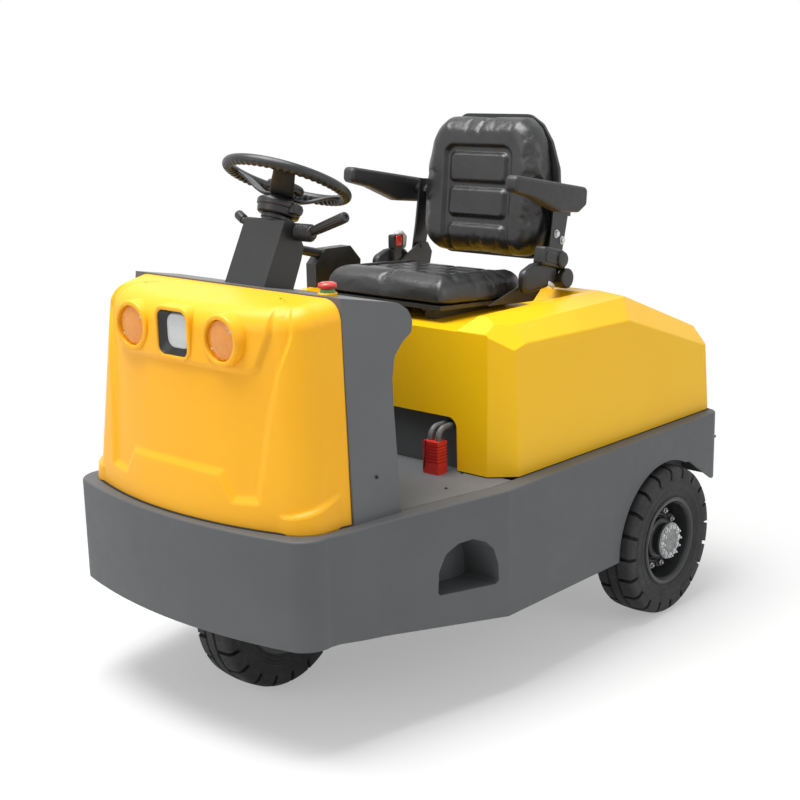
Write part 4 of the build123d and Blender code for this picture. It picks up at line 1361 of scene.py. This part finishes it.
    def build_hub(self, paints: Paints) -> None:
        """Makes the driven wheel's hub: a stepped drum, a bolted end flange and the wheel nuts.

        Args:
            paints: The finishes.
        """
        drum_section = [(0, -10), (58, -10), (58, 24), (54, 28), (46, 30), (44, 44), (48, 46), (0, 46)]
        drum = spin(drum_section, self.frame(), 64)
        make_piece(self.name + "_drum", drum, paints.black_steel, self.body)
        flange_section = [
            (0, 45), (49, 45), (51, 47), (51, 53), (49, 55), (34, 55), (32, 54), (27, 54), (25, 55.5),
            (7, 55.5), (5, 54), (0, 54),
        ]
        flange = spin(flange_section, self.frame(), 72)
        make_piece(self.name + "_flange", flange, paints.cast, self.body)
        bolts = self.bolt_ring(12, 41.5, 54.5, 6.2, 6.0)
        make_piece(self.name + "_bolts", bolts, paints.bright, self.body, 25.0)
        nuts = self.bolt_ring(10, 78.0, 9.0, 9.5, 11.0, 12.0)
        make_piece(self.name + "_nuts", nuts, paints.steel, self.body, 25.0)

    def build(self, paints: Paints) -> None:
        """Makes the tyre, the rim and, on a driven wheel, the hub.

        Args:
            paints: The finishes.
        """
        self.build_tyre(paints)
        self.build_rim(self.name.replace("tyre", "rim"), paints)
        if self.driven:
            self.build_hub(paints)


@dataclass
class SoftPad:
    """A foam pad under vinyl: a crowned form over an outline, with sewn channels pressed in."""

    name: str
    node: str
    body: str
    matrix: Matrix
    low: float
    high: float
    widths: Corners
    crown: float
    base: float
    edge: float
    channels: Callable[[Array, Array], Array]
    fill: float = 0.85
    cap: float = 6.0
    voxel: float = 5.0
    start_inset: float = 3.0
    grid_side: int = 97
    last_frame: int = 20

    def half_width(self, b: Array) -> Array:
        """Half the pad's width at a distance b along it, read off its table and smoothed."""
        along, half = (np.array(v, float) for v in zip(*self.widths))
        fine = np.linspace(along[0], along[-1], 161)
        wide = np.interp(fine, along, half)
        kernel = np.hanning(15)
        padded = np.pad(wide, 7, mode="reflect", reflect_type="odd")
        smooth = np.convolve(padded, kernel / kernel.sum(), "valid")
        return np.interp(b, fine, smooth)

    def edge_distance(self, a: Array, b: Array) -> Array:
        """Distance inwards from the pad's outline."""
        along = np.linspace(self.low, self.high, 41)
        half = self.half_width(along)
        ring = [(h, s) for h, s in zip(half, along)] + [(-h, s) for h, s in zip(half[::-1], along[::-1])]
        return -outline_distance(a, b, ring)

    def swell(self, a: Array, b: Array, height: float, edge: float) -> Array:
        """Height over the seam: h (1 - (1 - d/e)^2.4)^(1/2.4), d the distance from the outline.

        Args:
            a: Across the pad.
            b: Along the pad.
            height: Full height.
            edge: Distance over which it rounds off.

        Returns:
            The height of each point.
        """
        share = np.clip(1 - self.edge_distance(a, b) / edge, 0, 1)
        return height * (1 - share**2.4) ** (1 / 2.4)

    def grids(self, inset: float) -> tuple[Array, Array]:
        """The pad's two faces over the same outline, meeting along its seam.

        Args:
            inset: How far the height is held in before the foam swells.

        Returns:
            Upper and lower grid, each (n, m, 3).
        """
        u = np.sin(np.linspace(-math.pi / 2, math.pi / 2, self.grid_side))[None]
        v = (1 - np.cos(np.linspace(0, math.pi, self.grid_side)))[:, None] / 2
        b = np.broadcast_to(self.low + (self.high - self.low) * v, (self.grid_side, self.grid_side))
        a = u * self.half_width(b)
        top = self.swell(a, b, self.crown - inset, self.edge)
        under = -self.swell(a, b, self.base, min(self.edge, 2.0 * self.base + 4.0))
        return np.stack([a, b, top], -1), np.stack([a, b, under], -1)

    def simulate(self, piece: bpy.types.Object) -> None:
        """Lets the foam press its cover out: cloth under pressure, with each point's way capped.

        Args:
            piece: The pad, which gets the settled shape.
        """
        remesh = piece.modifiers.new("remesh", "REMESH")
        remesh.mode = "VOXEL"
        remesh.voxel_size = self.voxel * MM
        apply_modifiers(piece)
        count = len(piece.data.vertices)
        before = np.zeros(count * 3)
        piece.data.vertices.foreach_get("co", before)
        cloth = piece.modifiers.new("cover", "CLOTH")
        cloth.settings.quality = 5
        cloth.settings.mass = 0.4
        cloth.settings.tension_stiffness = 20
        cloth.settings.compression_stiffness = 20
        cloth.settings.shear_stiffness = 8
        cloth.settings.bending_stiffness = 0.8
        cloth.settings.use_pressure = True
        cloth.settings.uniform_pressure_force = 4.0
        cloth.settings.effector_weights.gravity = 0.0
        cloth.collision_settings.use_collision = False
        for step in range(1, self.last_frame + 1):
            bpy.context.scene.frame_set(step)
        apply_modifiers(piece)
        bpy.context.scene.frame_set(1)
        after = np.zeros(count * 3)
        piece.data.vertices.foreach_get("co", after)
        way = (after - before).reshape(-1, 3)
        length = np.linalg.norm(way, axis=1, keepdims=True)
        limit = np.minimum(1.0, self.cap * MM / np.maximum(length, 1e-9))
        piece.data.vertices.foreach_set("co", (before.reshape(-1, 3) + way * limit).ravel())
        smooth = piece.modifiers.new("skin", "SUBSURF")
        smooth.levels = smooth.render_levels = 1
        apply_modifiers(piece)

    def press(self, piece: bpy.types.Object) -> None:
        """Presses the sewn channels into the upper face: each point sinks by their depth.

        Args:
            piece: The pad.
        """
        count = len(piece.data.vertices)
        flat = np.zeros(count * 3)
        piece.data.vertices.foreach_get("co", flat)
        local = placed(flat.reshape(-1, 3) / MM, self.matrix.inverted())
        upper = ramp(local[:, 2], 0.35 * self.crown, 0.8 * self.crown)
        local[:, 2] -= self.channels(local[:, 0], local[:, 1]) * upper
        piece.data.vertices.foreach_set("co", (placed(local, self.matrix) * MM).ravel())
        piece.data.update()

    def build(self, paints: Paints) -> bpy.types.Object:
        """Args:
            paints: The finishes.

        Returns:
            The pad.
        """
        top, under = self.grids(self.start_inset)
        patches = [Patch(placed(top, self.matrix)), Patch(placed(under, self.matrix))]
        piece = make_piece(self.name, patches, paints.vinyl, self.body, 70.0)
        self.simulate(piece)
        self.press(piece)
        piece.data.polygons.foreach_set("use_smooth", np.ones(len(piece.data.polygons), bool))
        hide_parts(self.node)
        return piece


def apply_modifiers(piece: bpy.types.Object) -> None:
    """Applies a piece's modifiers to its mesh.

    Args:
        piece: The piece.
    """
    graph = bpy.context.evaluated_depsgraph_get()
    mesh = bpy.data.meshes.new_from_object(piece.evaluated_get(graph))
    piece.modifiers.clear()
    piece.data = mesh


@dataclass
class Cushions:
    """The driver's seat: cushion with brick pads, and back with three pads."""

    seat_y: float = -130.0
    seat_z: float = 900.0
    tilt: float = 3.5
    pivot_y: float = 318.0
    pivot_z: float = 985.0
    lean: float = 5.5

    def on_seat(self) -> Matrix:
        """The cushion's frame: X across, Y back, Z up, tipped back."""
        return at(0, self.seat_y, self.seat_z) @ turned("X", -self.tilt)

    def on_back(self) -> Matrix:
        """The back's frame: X across, Y up, Z forwards, leaning back."""
        swap = Matrix(((1, 0, 0, 0), (0, 0, -1, 0), (0, 1, 0, 0), (0, 0, 0, 1)))
        return at(0, self.pivot_y, self.pivot_z) @ turned("X", -self.lean) @ swap

    @staticmethod
    def cushion_channels(a: Array, b: Array) -> Array:
        """Channels between brick pads: rows 62 apart, split in two and in three by turns."""
        rows = np.minimum.reduce([np.abs(b - line) for line in (98.0, 160.0, 222.0, 284.0, 346.0)])
        even = np.minimum(np.abs(np.abs(a) - 52.0), np.abs(np.abs(a) - 152.0))
        odd = np.minimum(np.abs(a), np.minimum(np.abs(np.abs(a) - 104.0), np.abs(np.abs(a) - 152.0)))
        row = np.floor((b - 98.0) / 62.0)
        split = np.where(np.mod(row, 2) == 0, even, odd)
        inside = ramp(a, -162.0, -150.0) * (1 - ramp(a, 150.0, 162.0)) * ramp(b, 90.0, 100.0)
        near = np.minimum(rows, split)
        well = 5.0 * ramp(-rounded_box_distance(a, b - 222.0, 160.0, 130.0, 30.0), -4.0, 8.0)
        return 7.0 * np.exp(-((near / 6.0) ** 2)) * inside + well

    @staticmethod
    def back_channels(a: Array, b: Array) -> Array:
        """A sunk U-shaped frame round three pads, which stand up again inside it."""
        well = ramp(-rounded_box_distance(a, b - 118.0, 118.0, 172.0, 34.0), -3.0, 9.0)
        pads = np.full(a.shape, 1e3)
        for middle, half in ((228.0, 40.0), (133.0, 39.0), (36.0, 37.0)):
            pads = np.minimum(pads, rounded_box_distance(a, b - middle, 98.0, half, 16.0))
        lift = ramp(-pads, -5.0, 9.0)
        return 12.0 * well - 10.0 * lift * well

    def build(self, paints: Paints) -> None:
        """Makes the cushion and the back.

        Args:
            paints: The finishes.
        """
        SoftPad(
            "cushion_pad", "seat_cushion", "seat", self.on_seat() @ at(0, 0, 16), 22.0, 376.0,
            [(22, 196), (34, 206), (60, 212), (200, 218), (330, 210), (362, 202), (376, 190)],
            crown=64.0, base=5.0, edge=62.0, channels=self.cushion_channels,
        ).build(paints)
        SoftPad(
            "back_pad", "seat_back", "seat_back", self.on_back() @ at(0, 0, -28), -8.0, 370.0,
            [
                (-8, 150), (4, 178), (28, 198), (66, 208), (150, 210), (235, 204), (306, 188), (345, 166),
                (370, 132),
            ],
            crown=74.0, base=3.0, edge=50.0, channels=self.back_channels,
        ).build(paints)


@dataclass
class SteeringWheel:
    """The steering wheel: a rim with finger grips underneath, three dished spokes and a hub."""

    hub_y: float = -425.0
    hub_z: float = 1222.0
    lean: float = 24.0
    rim_radius: float = 144.5
    tube: float = 13.5
    grips: int = 56
    grip_depth: float = 2.0
    spoke_width: float = 58.0
    rim_rise: float = 15.0
    dish: float = 42.0
    first_spoke: float = -48.0

    def frame(self) -> Matrix:
        """A frame whose Z is the wheel's axle, pointing up to the driver."""
        return at(0, self.hub_y, self.hub_z) @ turned("X", -self.lean)

    def rim(self) -> Patch:
        """The rim: a torus whose underside sinks by d (1 - cos(n a))/2 between the fingers."""
        angle = np.linspace(0, 2 * math.pi, self.grips * 8, endpoint=False)[:, None]
        around = np.linspace(0, 2 * math.pi, 24, endpoint=False)[None]
        under = ramp(-np.sin(around) - 0.3 * np.cos(around), 0.1, 0.6)
        tube = self.tube - self.grip_depth * 0.5 * (1 - np.cos(self.grips * angle)) * under
        reach = self.rim_radius + tube * np.cos(around)
        height = self.rim_rise + tube * np.sin(around)
        ring = np.broadcast_arrays(reach * np.cos(angle), reach * np.sin(angle), height)
        return Patch(placed(np.stack(ring, -1), self.frame()), wrap_rows=True, wrap_columns=True)

    def spoke(self, angle: float) -> Patch:
        """One spoke: a rounded bar that dips to the hub, z = h - d (1 - s^2 (3 - 2s)).

        Args:
            angle: Its angle about the axle, in degrees.

        Returns:
            The patch.
        """
        reach = np.linspace(18.0, self.rim_radius - 4, 24)[:, None]
        around = np.linspace(0, 2 * math.pi, 32, endpoint=False)[None]
        width = (self.spoke_width - 6.0 * ramp(reach, 60, 110)) / 2
        across = width * np.sign(np.cos(around)) * np.abs(np.cos(around)) ** 0.35
        rise = 4.5 * np.sign(np.sin(around)) * np.abs(np.sin(around)) ** 0.5
        height = self.rim_rise + rise - self.dish * (1 - ramp(reach, 34.0, 138.0))
        bar_points = np.stack([np.broadcast_to(reach, across.shape), across, height], -1)
        return Patch(placed(bar_points, self.frame() @ turned("Z", angle)), wrap_columns=True, caps=True)

    def build(self, paints: Paints) -> None:
        """Makes the wheel.

        Args:
            paints: The finishes.
        """
        hub = [
            (0, -34), (30, -34), (32, -31), (33, -16), (44, -13), (46, -9), (46, 0), (42, 5), (24, 8),
            (0, 9),
        ]
        spokes = [self.spoke(self.first_spoke + 120.0 * i) for i in range(3)]
        parts = [self.rim(), spin(hub, self.frame(), 48), *spokes]
        body = "steering_wheel"
        make_piece("steering_grip", parts, paints.moulded, body, 40.0, [body])


@dataclass
class Controls:
    """What the driver's hands work at the column and on the dash."""

    dash_y: float = -498.0
    boot_ribs: int = 9
    flutes: int = 14

    def collar(self, paints: Paints) -> None:
        """The switch housing under the wheel's hub and the tube below it.

        Args:
            paints: The finishes.
        """
        axle = SteeringWheel().frame()
        tube = [(0, -112), (35, -112), (35, -86), (38, -84), (38, -76), (35, -74), (35, -70), (0, -70)]
        ring = [
            (0, -74), (46, -74), (50, -71), (52, -62), (52, -57), (55, -55), (56, -50), (56, -44), (52, -39),
            (30, -37), (0, -37),
        ]
        block = rounded_outline([(30, -16), (66, -16), (66, 16), (30, 16)], 9)
        made = [spin(tube, axle), spin(ring, axle, 64), bar(block, 26, 5, axle @ at(0, 0, -68))]
        make_piece("column_collar", made, paints.moulded, "chassis", 40.0)

    def direction_lever(self, paints: Paints) -> None:
        """A bellows boot, r = 21 - 1.2 (1 + cos(2 pi n s)), and a grip, r = r0 + 0.45 cos(14 a).

        Args:
            paints: The finishes.
        """
        share = np.linspace(0, 1, 109)
        ribs = 1.2 * (1 + np.cos(2 * math.pi * self.boot_ribs * share))
        boot_r = 21.0 - ribs - 8.0 * ramp(share, 0.86, 1.0)
        boot = [(0.0, -12.0), (20.0, -12.0), *zip(boot_r.tolist(), (66.0 * share).tolist()), (0.0, 66.0)]
        start, mid, end = (50, -453, 1121), (104, -450, 1122), (222, -450, 1166)
        around = np.linspace(0, 2 * math.pi, 84, endpoint=False)[None]
        along = np.array([0.0, 14.0, 15.0, 40.0, 80.0, 112.0, 122.0, 125.0, 126.0, 126.0, 123.0])[:, None]
        radius = np.array([9.5, 10.0, 11.5, 11.8, 12.4, 12.8, 12.6, 11.4, 9.8, 5.0, 4.6])[:, None]
        fade = ramp(along, 14.0, 20.0) * (1 - ramp(along, 110.0, 120.0))
        reach = radius + 0.45 * np.cos(self.flutes * around) * fade
        ring = np.broadcast_arrays(reach * np.cos(around), reach * np.sin(around), along)
        grip = Patch(placed(np.stack(ring, -1), pointing(mid, end)), wrap_columns=True, caps=True)
        made = [spin(boot, pointing(start, (114, -449, 1121)), 40), grip]
        stands_for = ["direction_lever"]
        make_piece("direction_grip", made, paints.moulded, "chassis", 35.0, stands_for)

    def signal_stalk(self, paints: Paints) -> None:
        """The stalk on the far side with its ribbed knob.

        Args:
            paints: The finishes.
        """
        stalk = [(0, -4), (13, -4), (13, 6), (8, 12), (7, 30), (6, 62), (0, 62)]
        knob = [(0, 0), (8, 0), (10, 4), (10, 10), (12, 12), (12, 34), (10, 38), (0, 40)]
        made = [
            spin(stalk, pointing((-60, -459, 1108), (-118, -452, 1138)), 28),
            spin(knob, pointing((-112, -453, 1134), (-150, -449, 1154)), 28),
        ]
        make_piece("signal_knob", made, paints.moulded, "chassis", 35.0, ["signal_stalk"])

    def stop_button(self, paints: Paints) -> None:
        """A red mushroom over a green ring on a yellow base.

        Args:
            paints: The finishes.
        """
        place = at(262, self.dash_y - 58, 0)
        base = [(0, 999), (22, 999), (22.5, 1001), (22, 1010), (19, 1012.5), (0, 1012.5)]
        ring = [(0, 1012), (17, 1012), (17.5, 1014), (15.5, 1019), (0, 1019)]
        stem = [(0, 1018), (11, 1018), (11, 1023), (0, 1023)]
        cap = [
            (0, 1021), (17, 1021), (20, 1022), (21.5, 1025), (21.5, 1029), (20, 1032), (15, 1034.2),
            (9, 1034.4), (7, 1033.6), (0, 1033.4),
        ]
        make_piece("stop_base", spin(base, place), paints.hood, "chassis")
        make_piece("stop_ring", [spin(ring, place), spin(stem, place)], paints.green, "chassis")
        mushroom = spin(cap, place, 56)
        make_piece("stop_mushroom", mushroom, paints.red, "chassis", 50.0, ["stop_button"])

    def pedal_pads(self, paints: Paints) -> None:
        """Ribbed rubber on both pedals, laid on their faces.

        Args:
            paints: The finishes.
        """
        lean = math.degrees(math.atan2(34.0, 76.0))
        made = []
        for x, width, reach in ((-110.0, 70.0, 70.0), (60.0, 80.0, 62.0)):
            tip = self.dash_y + 24 + reach
            face = at(x, tip - 9, 580) @ turned("X", 90 - lean) @ turned("Y", 180)
            half = width / 2 - 2
            made.append(bar(rounded_rectangle(half, 36, 6), 7, 1.5, face @ at(0, 0, -11)))
            rib = rounded_rectangle(half - 5, 2, 1.8)
            made += [bar(rib, 3, 1.0, face @ at(0, -30 + 10 * i, -13)) for i in range(7)]
        make_piece("pedal_rubbers", made, paints.tyre, "chassis")

    def build(self, paints: Paints) -> None:
        """Makes all the controls.

        Args:
            paints: The finishes.
        """
        self.collar(paints)
        self.direction_lever(paints)
        self.signal_stalk(paints)
        self.stop_button(paints)
        self.pedal_pads(paints)


@dataclass
class ArmsAndBelt:
    """Armrests, belt, recliner and the other hard parts round the seat."""

    plate_x: float = 238.0
    arm_x: float = 263.0
    arm_width: float = 40.0
    arm_pivot: tuple[float, float] = (352.0, 1142.0)
    bolt_places: Corners = ((325.0, 1048.0), (350.0, 1028.0))

    def armrest(self) -> list[Patch]:
        """The left armrest: a deep padded bar with rounded edges, and the boss that it folds on.

        Returns:
            The patches.
        """
        profile = [(388, 1168), (384, 1122), (350, 1105), (262, 1115), (150, 1162), (74, 1182), (78, 1224)]
        outline = rounded_outline(profile, 14, 6)
        if is_clockwise(outline):
            outline = outline[::-1]
        pad = bar(outline, self.arm_width, 10, side_plane(self.arm_x))
        y, z = self.arm_pivot
        section = [(0, 1), (16, 1), (16, 18), (20, 21), (20, 30), (0, 30)]
        boss = spin(section, at(self.plate_x + 6, y, z) @ turned("Y", 90), 40)
        return [pad, boss]

    def armrests(self, paints: Paints) -> None:
        """Makes both armrests with their pivot bolts.

        Args:
            paints: The finishes.
        """
        y, z = self.arm_pivot
        bolt = [(0, 0), (13, 0), (13, 2), (9, 2), (9, 7), (0, 7)]
        for name, side in (("left", 1), ("right", -1)):
            body = "armrest_" + name
            parts = self.armrest() if side > 0 else [mirrored(patch) for patch in self.armrest()]
            make_piece("armrest_pad_" + name, parts, paints.arm, body, 45.0, [body])
            head = spin(bolt, at(side * self.plate_x, y, z) @ turned("Y", -90 * side), 6)
            make_piece("armrest_bolt_" + name, head, paints.steel, body, 20.0)

    def recliner(self) -> list[Patch]:
        """The left recliner's cover, seen from the side: a fat tapered sleeve and its end cap.

        Returns:
            The patches.
        """
        outline = [(150, 968), (196, 984), (250, 988), (292, 962), (286, 930), (250, 916), (150, 908)]
        loop = rounded_outline(outline, 22, 6)
        if is_clockwise(loop):
            loop = loop[::-1]
        cap = [(0, 0), (30, 0), (30, 10), (26, 14), (12, 15), (11, 13), (0, 13)]
        return [bar(loop, 26, 9, side_plane(246)), spin(cap, at(258, 262, 950) @ turned("Y", 90), 40)]

    def retractor(self) -> list[Patch]:
        """The belt retractor: a rounded case tipped to the rear, with its drum cover and slot.

        Returns:
            The patches.
        """
        loop = rounded_outline([(-52, -24), (52, -24), (52, 18), (30, 26), (-52, 26)], 9, 5)
        place = side_plane(248) @ at(268, 992, 0) @ turned("Z", -14)
        drum = [(0, 0), (21, 0), (21, 8), (18, 11), (6, 12), (0, 12)]
        cover = rounded_outline([(-44, -14), (20, -14), (20, 14), (-44, 14)], 6)
        return [
            bar(loop, 36, 6, place),
            bar(cover, 6, 2, place @ at(0, 0, 33)),
            spin(drum, place @ at(26, 0, 34), 36),
        ]

    def build(self, paints: Paints) -> None:
        """Makes the hardware of both sides.

        Args:
            paints: The finishes.
        """
        self.armrests(paints)
        near = self.recliner()
        for name, parts in (("recliner_cover", near), ("recliner_cover_far", [mirrored(p) for p in near])):
            make_piece(name, parts, paints.moulded, "seat", 40.0)
        make_piece("retractor_case", self.retractor(), paints.moulded, "seat", 40.0)
        washer, head = [(0, 0), (11, 0), (11, 2), (0, 2)], [(0, 2), (8, 2), (8, 7), (0, 7)]
        bolts = []
        for y, z in self.bolt_places:
            for side in (-1, 1):
                place = at(side * (self.plate_x + 5), y, z) @ turned("Y", 90 * side)
                bolts += [spin(washer, place, 20), spin(head, place, 6)]
        make_piece("bracket_bolts", bolts, paints.bright, "seat_back", 20.0)
        tongue = rounded_rectangle(6, 16, 4)
        tabs = []
        for y, z, lean in ((303, 940, 20), (262, 922, 60)):
            tabs.append(bar(tongue, 3, 1, side_plane(272) @ at(y, z, 0) @ turned("Z", lean)))
        make_piece("retractor_tabs", tabs, paints.bright, "seat")
        button = bar(rounded_rectangle(12, 15, 4), 26, 3, side_plane(-251) @ at(219, 1008, 0))
        make_piece("buckle_button", button, paints.red, "seat")
        cover = rounded_outline([(-20, -26), (20, -26), (26, 10), (6, 28), (-20, 22)], 10)
        knob = bar(cover, 20, 7, side_plane(-270) @ at(258, 1004, 0))
        make_piece("buckle_cover", knob, paints.white, "seat")


@dataclass
class DeckTrim:
    """Small things on the body: the painted shade of the seam under the cowl, screws, the wire loop and the
    rear bolts.
    """

    foot_z: float = 518.0
    deck_screws: Corners = (
        (330, -470), (-330, -470), (380, -300), (-380, -300), (330, -180), (-330, -180), (0, -470),
        (0, -180),
    )
    hitch_y: float = 774.0

    def seam(self) -> Patch:
        """A dark tube round the cowl's foot, just outside its plan: painted shade in the seam where the cowl
        meets the deck.
        """
        outline = FrontCowl().plan(0.0, np.linspace(0, 1, 97)) * (1.004, 1.003)
        path = np.column_stack([outline, np.full(len(outline), self.foot_z + 1.0)])
        return Patch(round_tube(path, 2.4, 8), wrap_columns=True, caps=True)

    def wire(self) -> Patch:
        """The thin wire by the plug: it bows by sin(pi t) on its way down."""
        t = np.linspace(0, 1, 40)
        bow = np.sin(math.pi * t)
        path = np.stack([250 + 14 * bow, -232 - 6 * bow, 602 + 34 * bow - 74 * t], 1)
        return Patch(round_tube(path, 1.3, 8), wrap_columns=True, caps=True)

    def screws(self) -> list[Patch]:
        """The deck's screws and one in each side of the dash."""
        made = []
        for x, y in self.deck_screws:
            made += cut_screw(at(x, y, self.foot_z), 4.5)
        for side in (-1, 1):
            made += cut_screw(at(side * 401.5, -560, 612) @ turned("Y", 90 * side), 4.0)
        return made

    def hitch_bolts(self) -> list[Patch]:
        """Four bolts with washers on the hitch's plate."""
        washer = [(0, 0), (15, 0), (15, 2.5), (0, 2.5)]
        head = [(0, 2.5), (12, 2.5), (12, 10), (11, 11), (0, 11)]
        made = []
        for x in (-74.0, 74.0):
            for z in (245.0, 365.0):
                place = at(x, self.hitch_y, z) @ turned("X", -90)
                made += [spin(washer, place, 24), spin(head, place, 6)]
        return made

    def build(self, paints: Paints) -> None:
        """Makes the trim.

        Args:
            paints: The finishes.
        """
        # The seam's dark tube is painted shade where the cowl meets the deck.
        make_piece("cowl_seam_shade", self.seam(), paints.gap, "chassis")
        make_piece("deck_screws", self.screws(), paints.gap, "chassis")
        make_piece("hitch_bolts", self.hitch_bolts(), paints.bright, "chassis", 20.0)
        make_piece("plug_wire", self.wire(), paints.gap, "chassis")


@dataclass
class SoftLight:
    """A square soft light."""

    name: str
    place: tuple[float, float, float]
    aim: tuple[float, float, float]
    size: float
    power: float

    def hang(self) -> None:
        """Hangs the light at its place, in metres, turned to its aim."""
        data = bpy.data.lights.new(self.name, "AREA")
        data.size = self.size
        data.energy = self.power
        lamp = bpy.data.objects.new(self.name, data)
        lamp.location = self.place
        direction = Vector(self.aim) - Vector(self.place)
        lamp.rotation_euler = direction.to_track_quat("-Z", "Y").to_euler()
        bpy.context.scene.collection.objects.link(lamp)


@dataclass
class Studio:
    """The pale floor, the soft lights, the white surround and the camera of the photograph."""

    camera_place: tuple[float, float, float] = (2.470, -2.744, 1.5185)
    azimuth: float = 42.399
    depression: float = 13.677
    roll: float = -1.204
    lens: float = 63.78
    floor_size: float = 40.0
    floor_white: float = 0.35
    surround: float = 0.42

    def camera(self) -> None:
        """Places the camera where the photograph was taken from.

        Its axes follow from the azimuth and the dip below the horizon, turned by the roll.
        """
        a, e, r = (math.radians(v) for v in (self.azimuth, self.depression, self.roll))
        back = Vector((math.sin(a) * math.cos(e), -math.cos(a) * math.cos(e), math.sin(e)))
        right = (-back).cross(Vector((0, 0, 1))).normalized()
        up = right.cross(-back)
        level, rise = right * math.cos(r) + up * math.sin(r), up * math.cos(r) - right * math.sin(r)
        turn = Matrix((level, rise, back)).transposed()
        data = bpy.data.cameras.new("camera")
        data.lens = self.lens
        data.sensor_width = 36.0
        camera = bpy.data.objects.new("camera", data)
        camera.matrix_world = Matrix.Translation(self.camera_place) @ turn.to_4x4()
        bpy.context.scene.collection.objects.link(camera)
        bpy.context.scene.camera = camera

    def white_to_eye(self, nodes: Nodes, glow: bpy.types.Node, matt: bpy.types.Node) -> None:
        """Lets the floor's shadowed matt give way to plain white with distance from the tractor.

        The share of white is 1 from the far radius on, and only what is seen turns white.

        Args:
            nodes: The floor's tree.
            glow: The white that is seen.
            matt: The matt that takes the shadow.
        """
        reach = nodes.add("ShaderNodeVectorMath", operation="LENGTH")
        nodes.join(nodes.place.outputs["Object"], reach.inputs[0])
        fade = nodes.add("ShaderNodeMapRange", interpolation_type="SMOOTHSTEP", From_Min=0.7, From_Max=1.7)
        fade.inputs["To Min"].default_value = self.floor_white
        nodes.join(reach.outputs["Value"], fade.inputs["Value"])
        share = nodes.add("ShaderNodeMath", operation="MULTIPLY")
        nodes.join(nodes.seen(), share.inputs[0])
        nodes.join(fade.outputs["Result"], share.inputs[1])
        mix = nodes.add("ShaderNodeMixShader")
        nodes.join(share.outputs[0], mix.inputs[0])
        nodes.join(matt.outputs[0], mix.inputs[1])
        nodes.join(glow.outputs[0], mix.inputs[2])
        nodes.join(mix.outputs[0], nodes.output.inputs["Surface"])

    def floor(self) -> None:
        """Lays the floor, which is matt and keeps the object's shadow."""
        nodes = Nodes("StudioFloor")
        matt = nodes.add("ShaderNodeBsdfDiffuse", Color=(0.9, 0.9, 0.9, 1))
        glow = nodes.add("ShaderNodeEmission", Color=(1, 1, 1, 1), Strength=1.0)
        self.white_to_eye(nodes, glow, matt)
        half = self.floor_size / 2
        mesh = bpy.data.meshes.new("studio_floor")
        corners = [(-half, -half, 0), (half, -half, 0), (half, half, 0), (-half, half, 0)]
        mesh.from_pydata(corners, [], [(0, 1, 2, 3)])
        mesh.materials.append(nodes.material)
        floor = bpy.data.objects.new("studio_floor", mesh)
        bpy.context.scene.collection.objects.link(floor)

    def world(self) -> None:
        """Surrounds the scene with white to the eye and a plain level of light on the object."""
        world = bpy.data.worlds.new("studio")
        bpy.context.scene.world = world
        nodes = Tree(world)
        output = nodes.add("ShaderNodeOutputWorld")
        light = nodes.add("ShaderNodeBackground", Color=(1, 1, 1, 1), Strength=self.surround)
        white = nodes.add("ShaderNodeBackground", Color=(1, 1, 1, 1), Strength=1.0)
        mix = nodes.add("ShaderNodeMixShader")
        nodes.join(nodes.seen(), mix.inputs[0])
        nodes.join(light.outputs[0], mix.inputs[1])
        nodes.join(white.outputs[0], mix.inputs[2])
        nodes.join(mix.outputs[0], output.inputs["Surface"])

    def build(self) -> None:
        """Sets up the whole studio."""
        bpy.context.scene.view_settings.view_transform = "Standard"
        self.camera()
        self.floor()
        self.world()
        for light in (
            SoftLight("top_light", (-0.4, -0.9, 4.2), (0, 0, 0.5), 2.6, 215.0),
            SoftLight("front_light", (-1.2, -4.6, 2.4), (0, 0, 0.6), 2.4, 30.0),
            SoftLight("side_light", (4.6, 0.6, 2.6), (0, 0.2, 0.6), 2.4, 30.0),
        ):
            light.hang()


def paint_nodes(paints: Paints) -> None:
    """Gives every construction node that still shows its finish.

    Args:
        paints: The finishes.
    """
    finish = {
        "chassis_grey": paints.chassis,
        "floor_grey": paints.floor,
        "cover_yellow": paints.hood,
        "dash_grey": paints.dash,
        "moulded_black": paints.moulded,
        "seat_vinyl": paints.vinyl,
        "seal_rubber": paints.gap,
        "tyre_rubber": paints.tyre,
        "black_steel": paints.black_steel,
        "plain_steel": paints.steel,
        "cast_steel": paints.cast,
        "battery_case": paints.black_steel,
        "plug_red": paints.plug,
        "lead_grey": paints.lead,
        "lamp_amber": paints.amber,
        "lamp_clear": paints.clear,
        "button_red": paints.red,
    }
    slots = {part["node"]: part["material_slot"] for part in frame["record"]["subparts"]}
    for name, node in frame["nodes"].items():
        node.data.materials.clear()
        node.data.materials.append(finish[slots[name]])


def main() -> None:
    """Builds the studio and the tractor's sub-assemblies in order."""
    logging.basicConfig(level=logging.INFO, format="%(message)s")
    Studio().build()
    paints = make_paints()
    paint_nodes(paints)
    FrontCowl().build(paints)
    Lamps().build(paints)
    BumperSkin().build(paints)
    for wheel in (
        Wheel("front_tyre", "front_wheel", 0.0, -524.0, 1, driven=False),
        Wheel("rear_tyre_left", "rear_wheel_left", 470.0, 474.0, 1),
        Wheel("rear_tyre_right", "rear_wheel_right", -470.0, 474.0, -1),
    ):
        wheel.build(paints)
    SteeringWheel().build(paints)
    Controls().build(paints)
    Cushions().build(paints)
    ArmsAndBelt().build(paints)
    DeckTrim().build(paints)


if __name__ == "__main__":
    main()
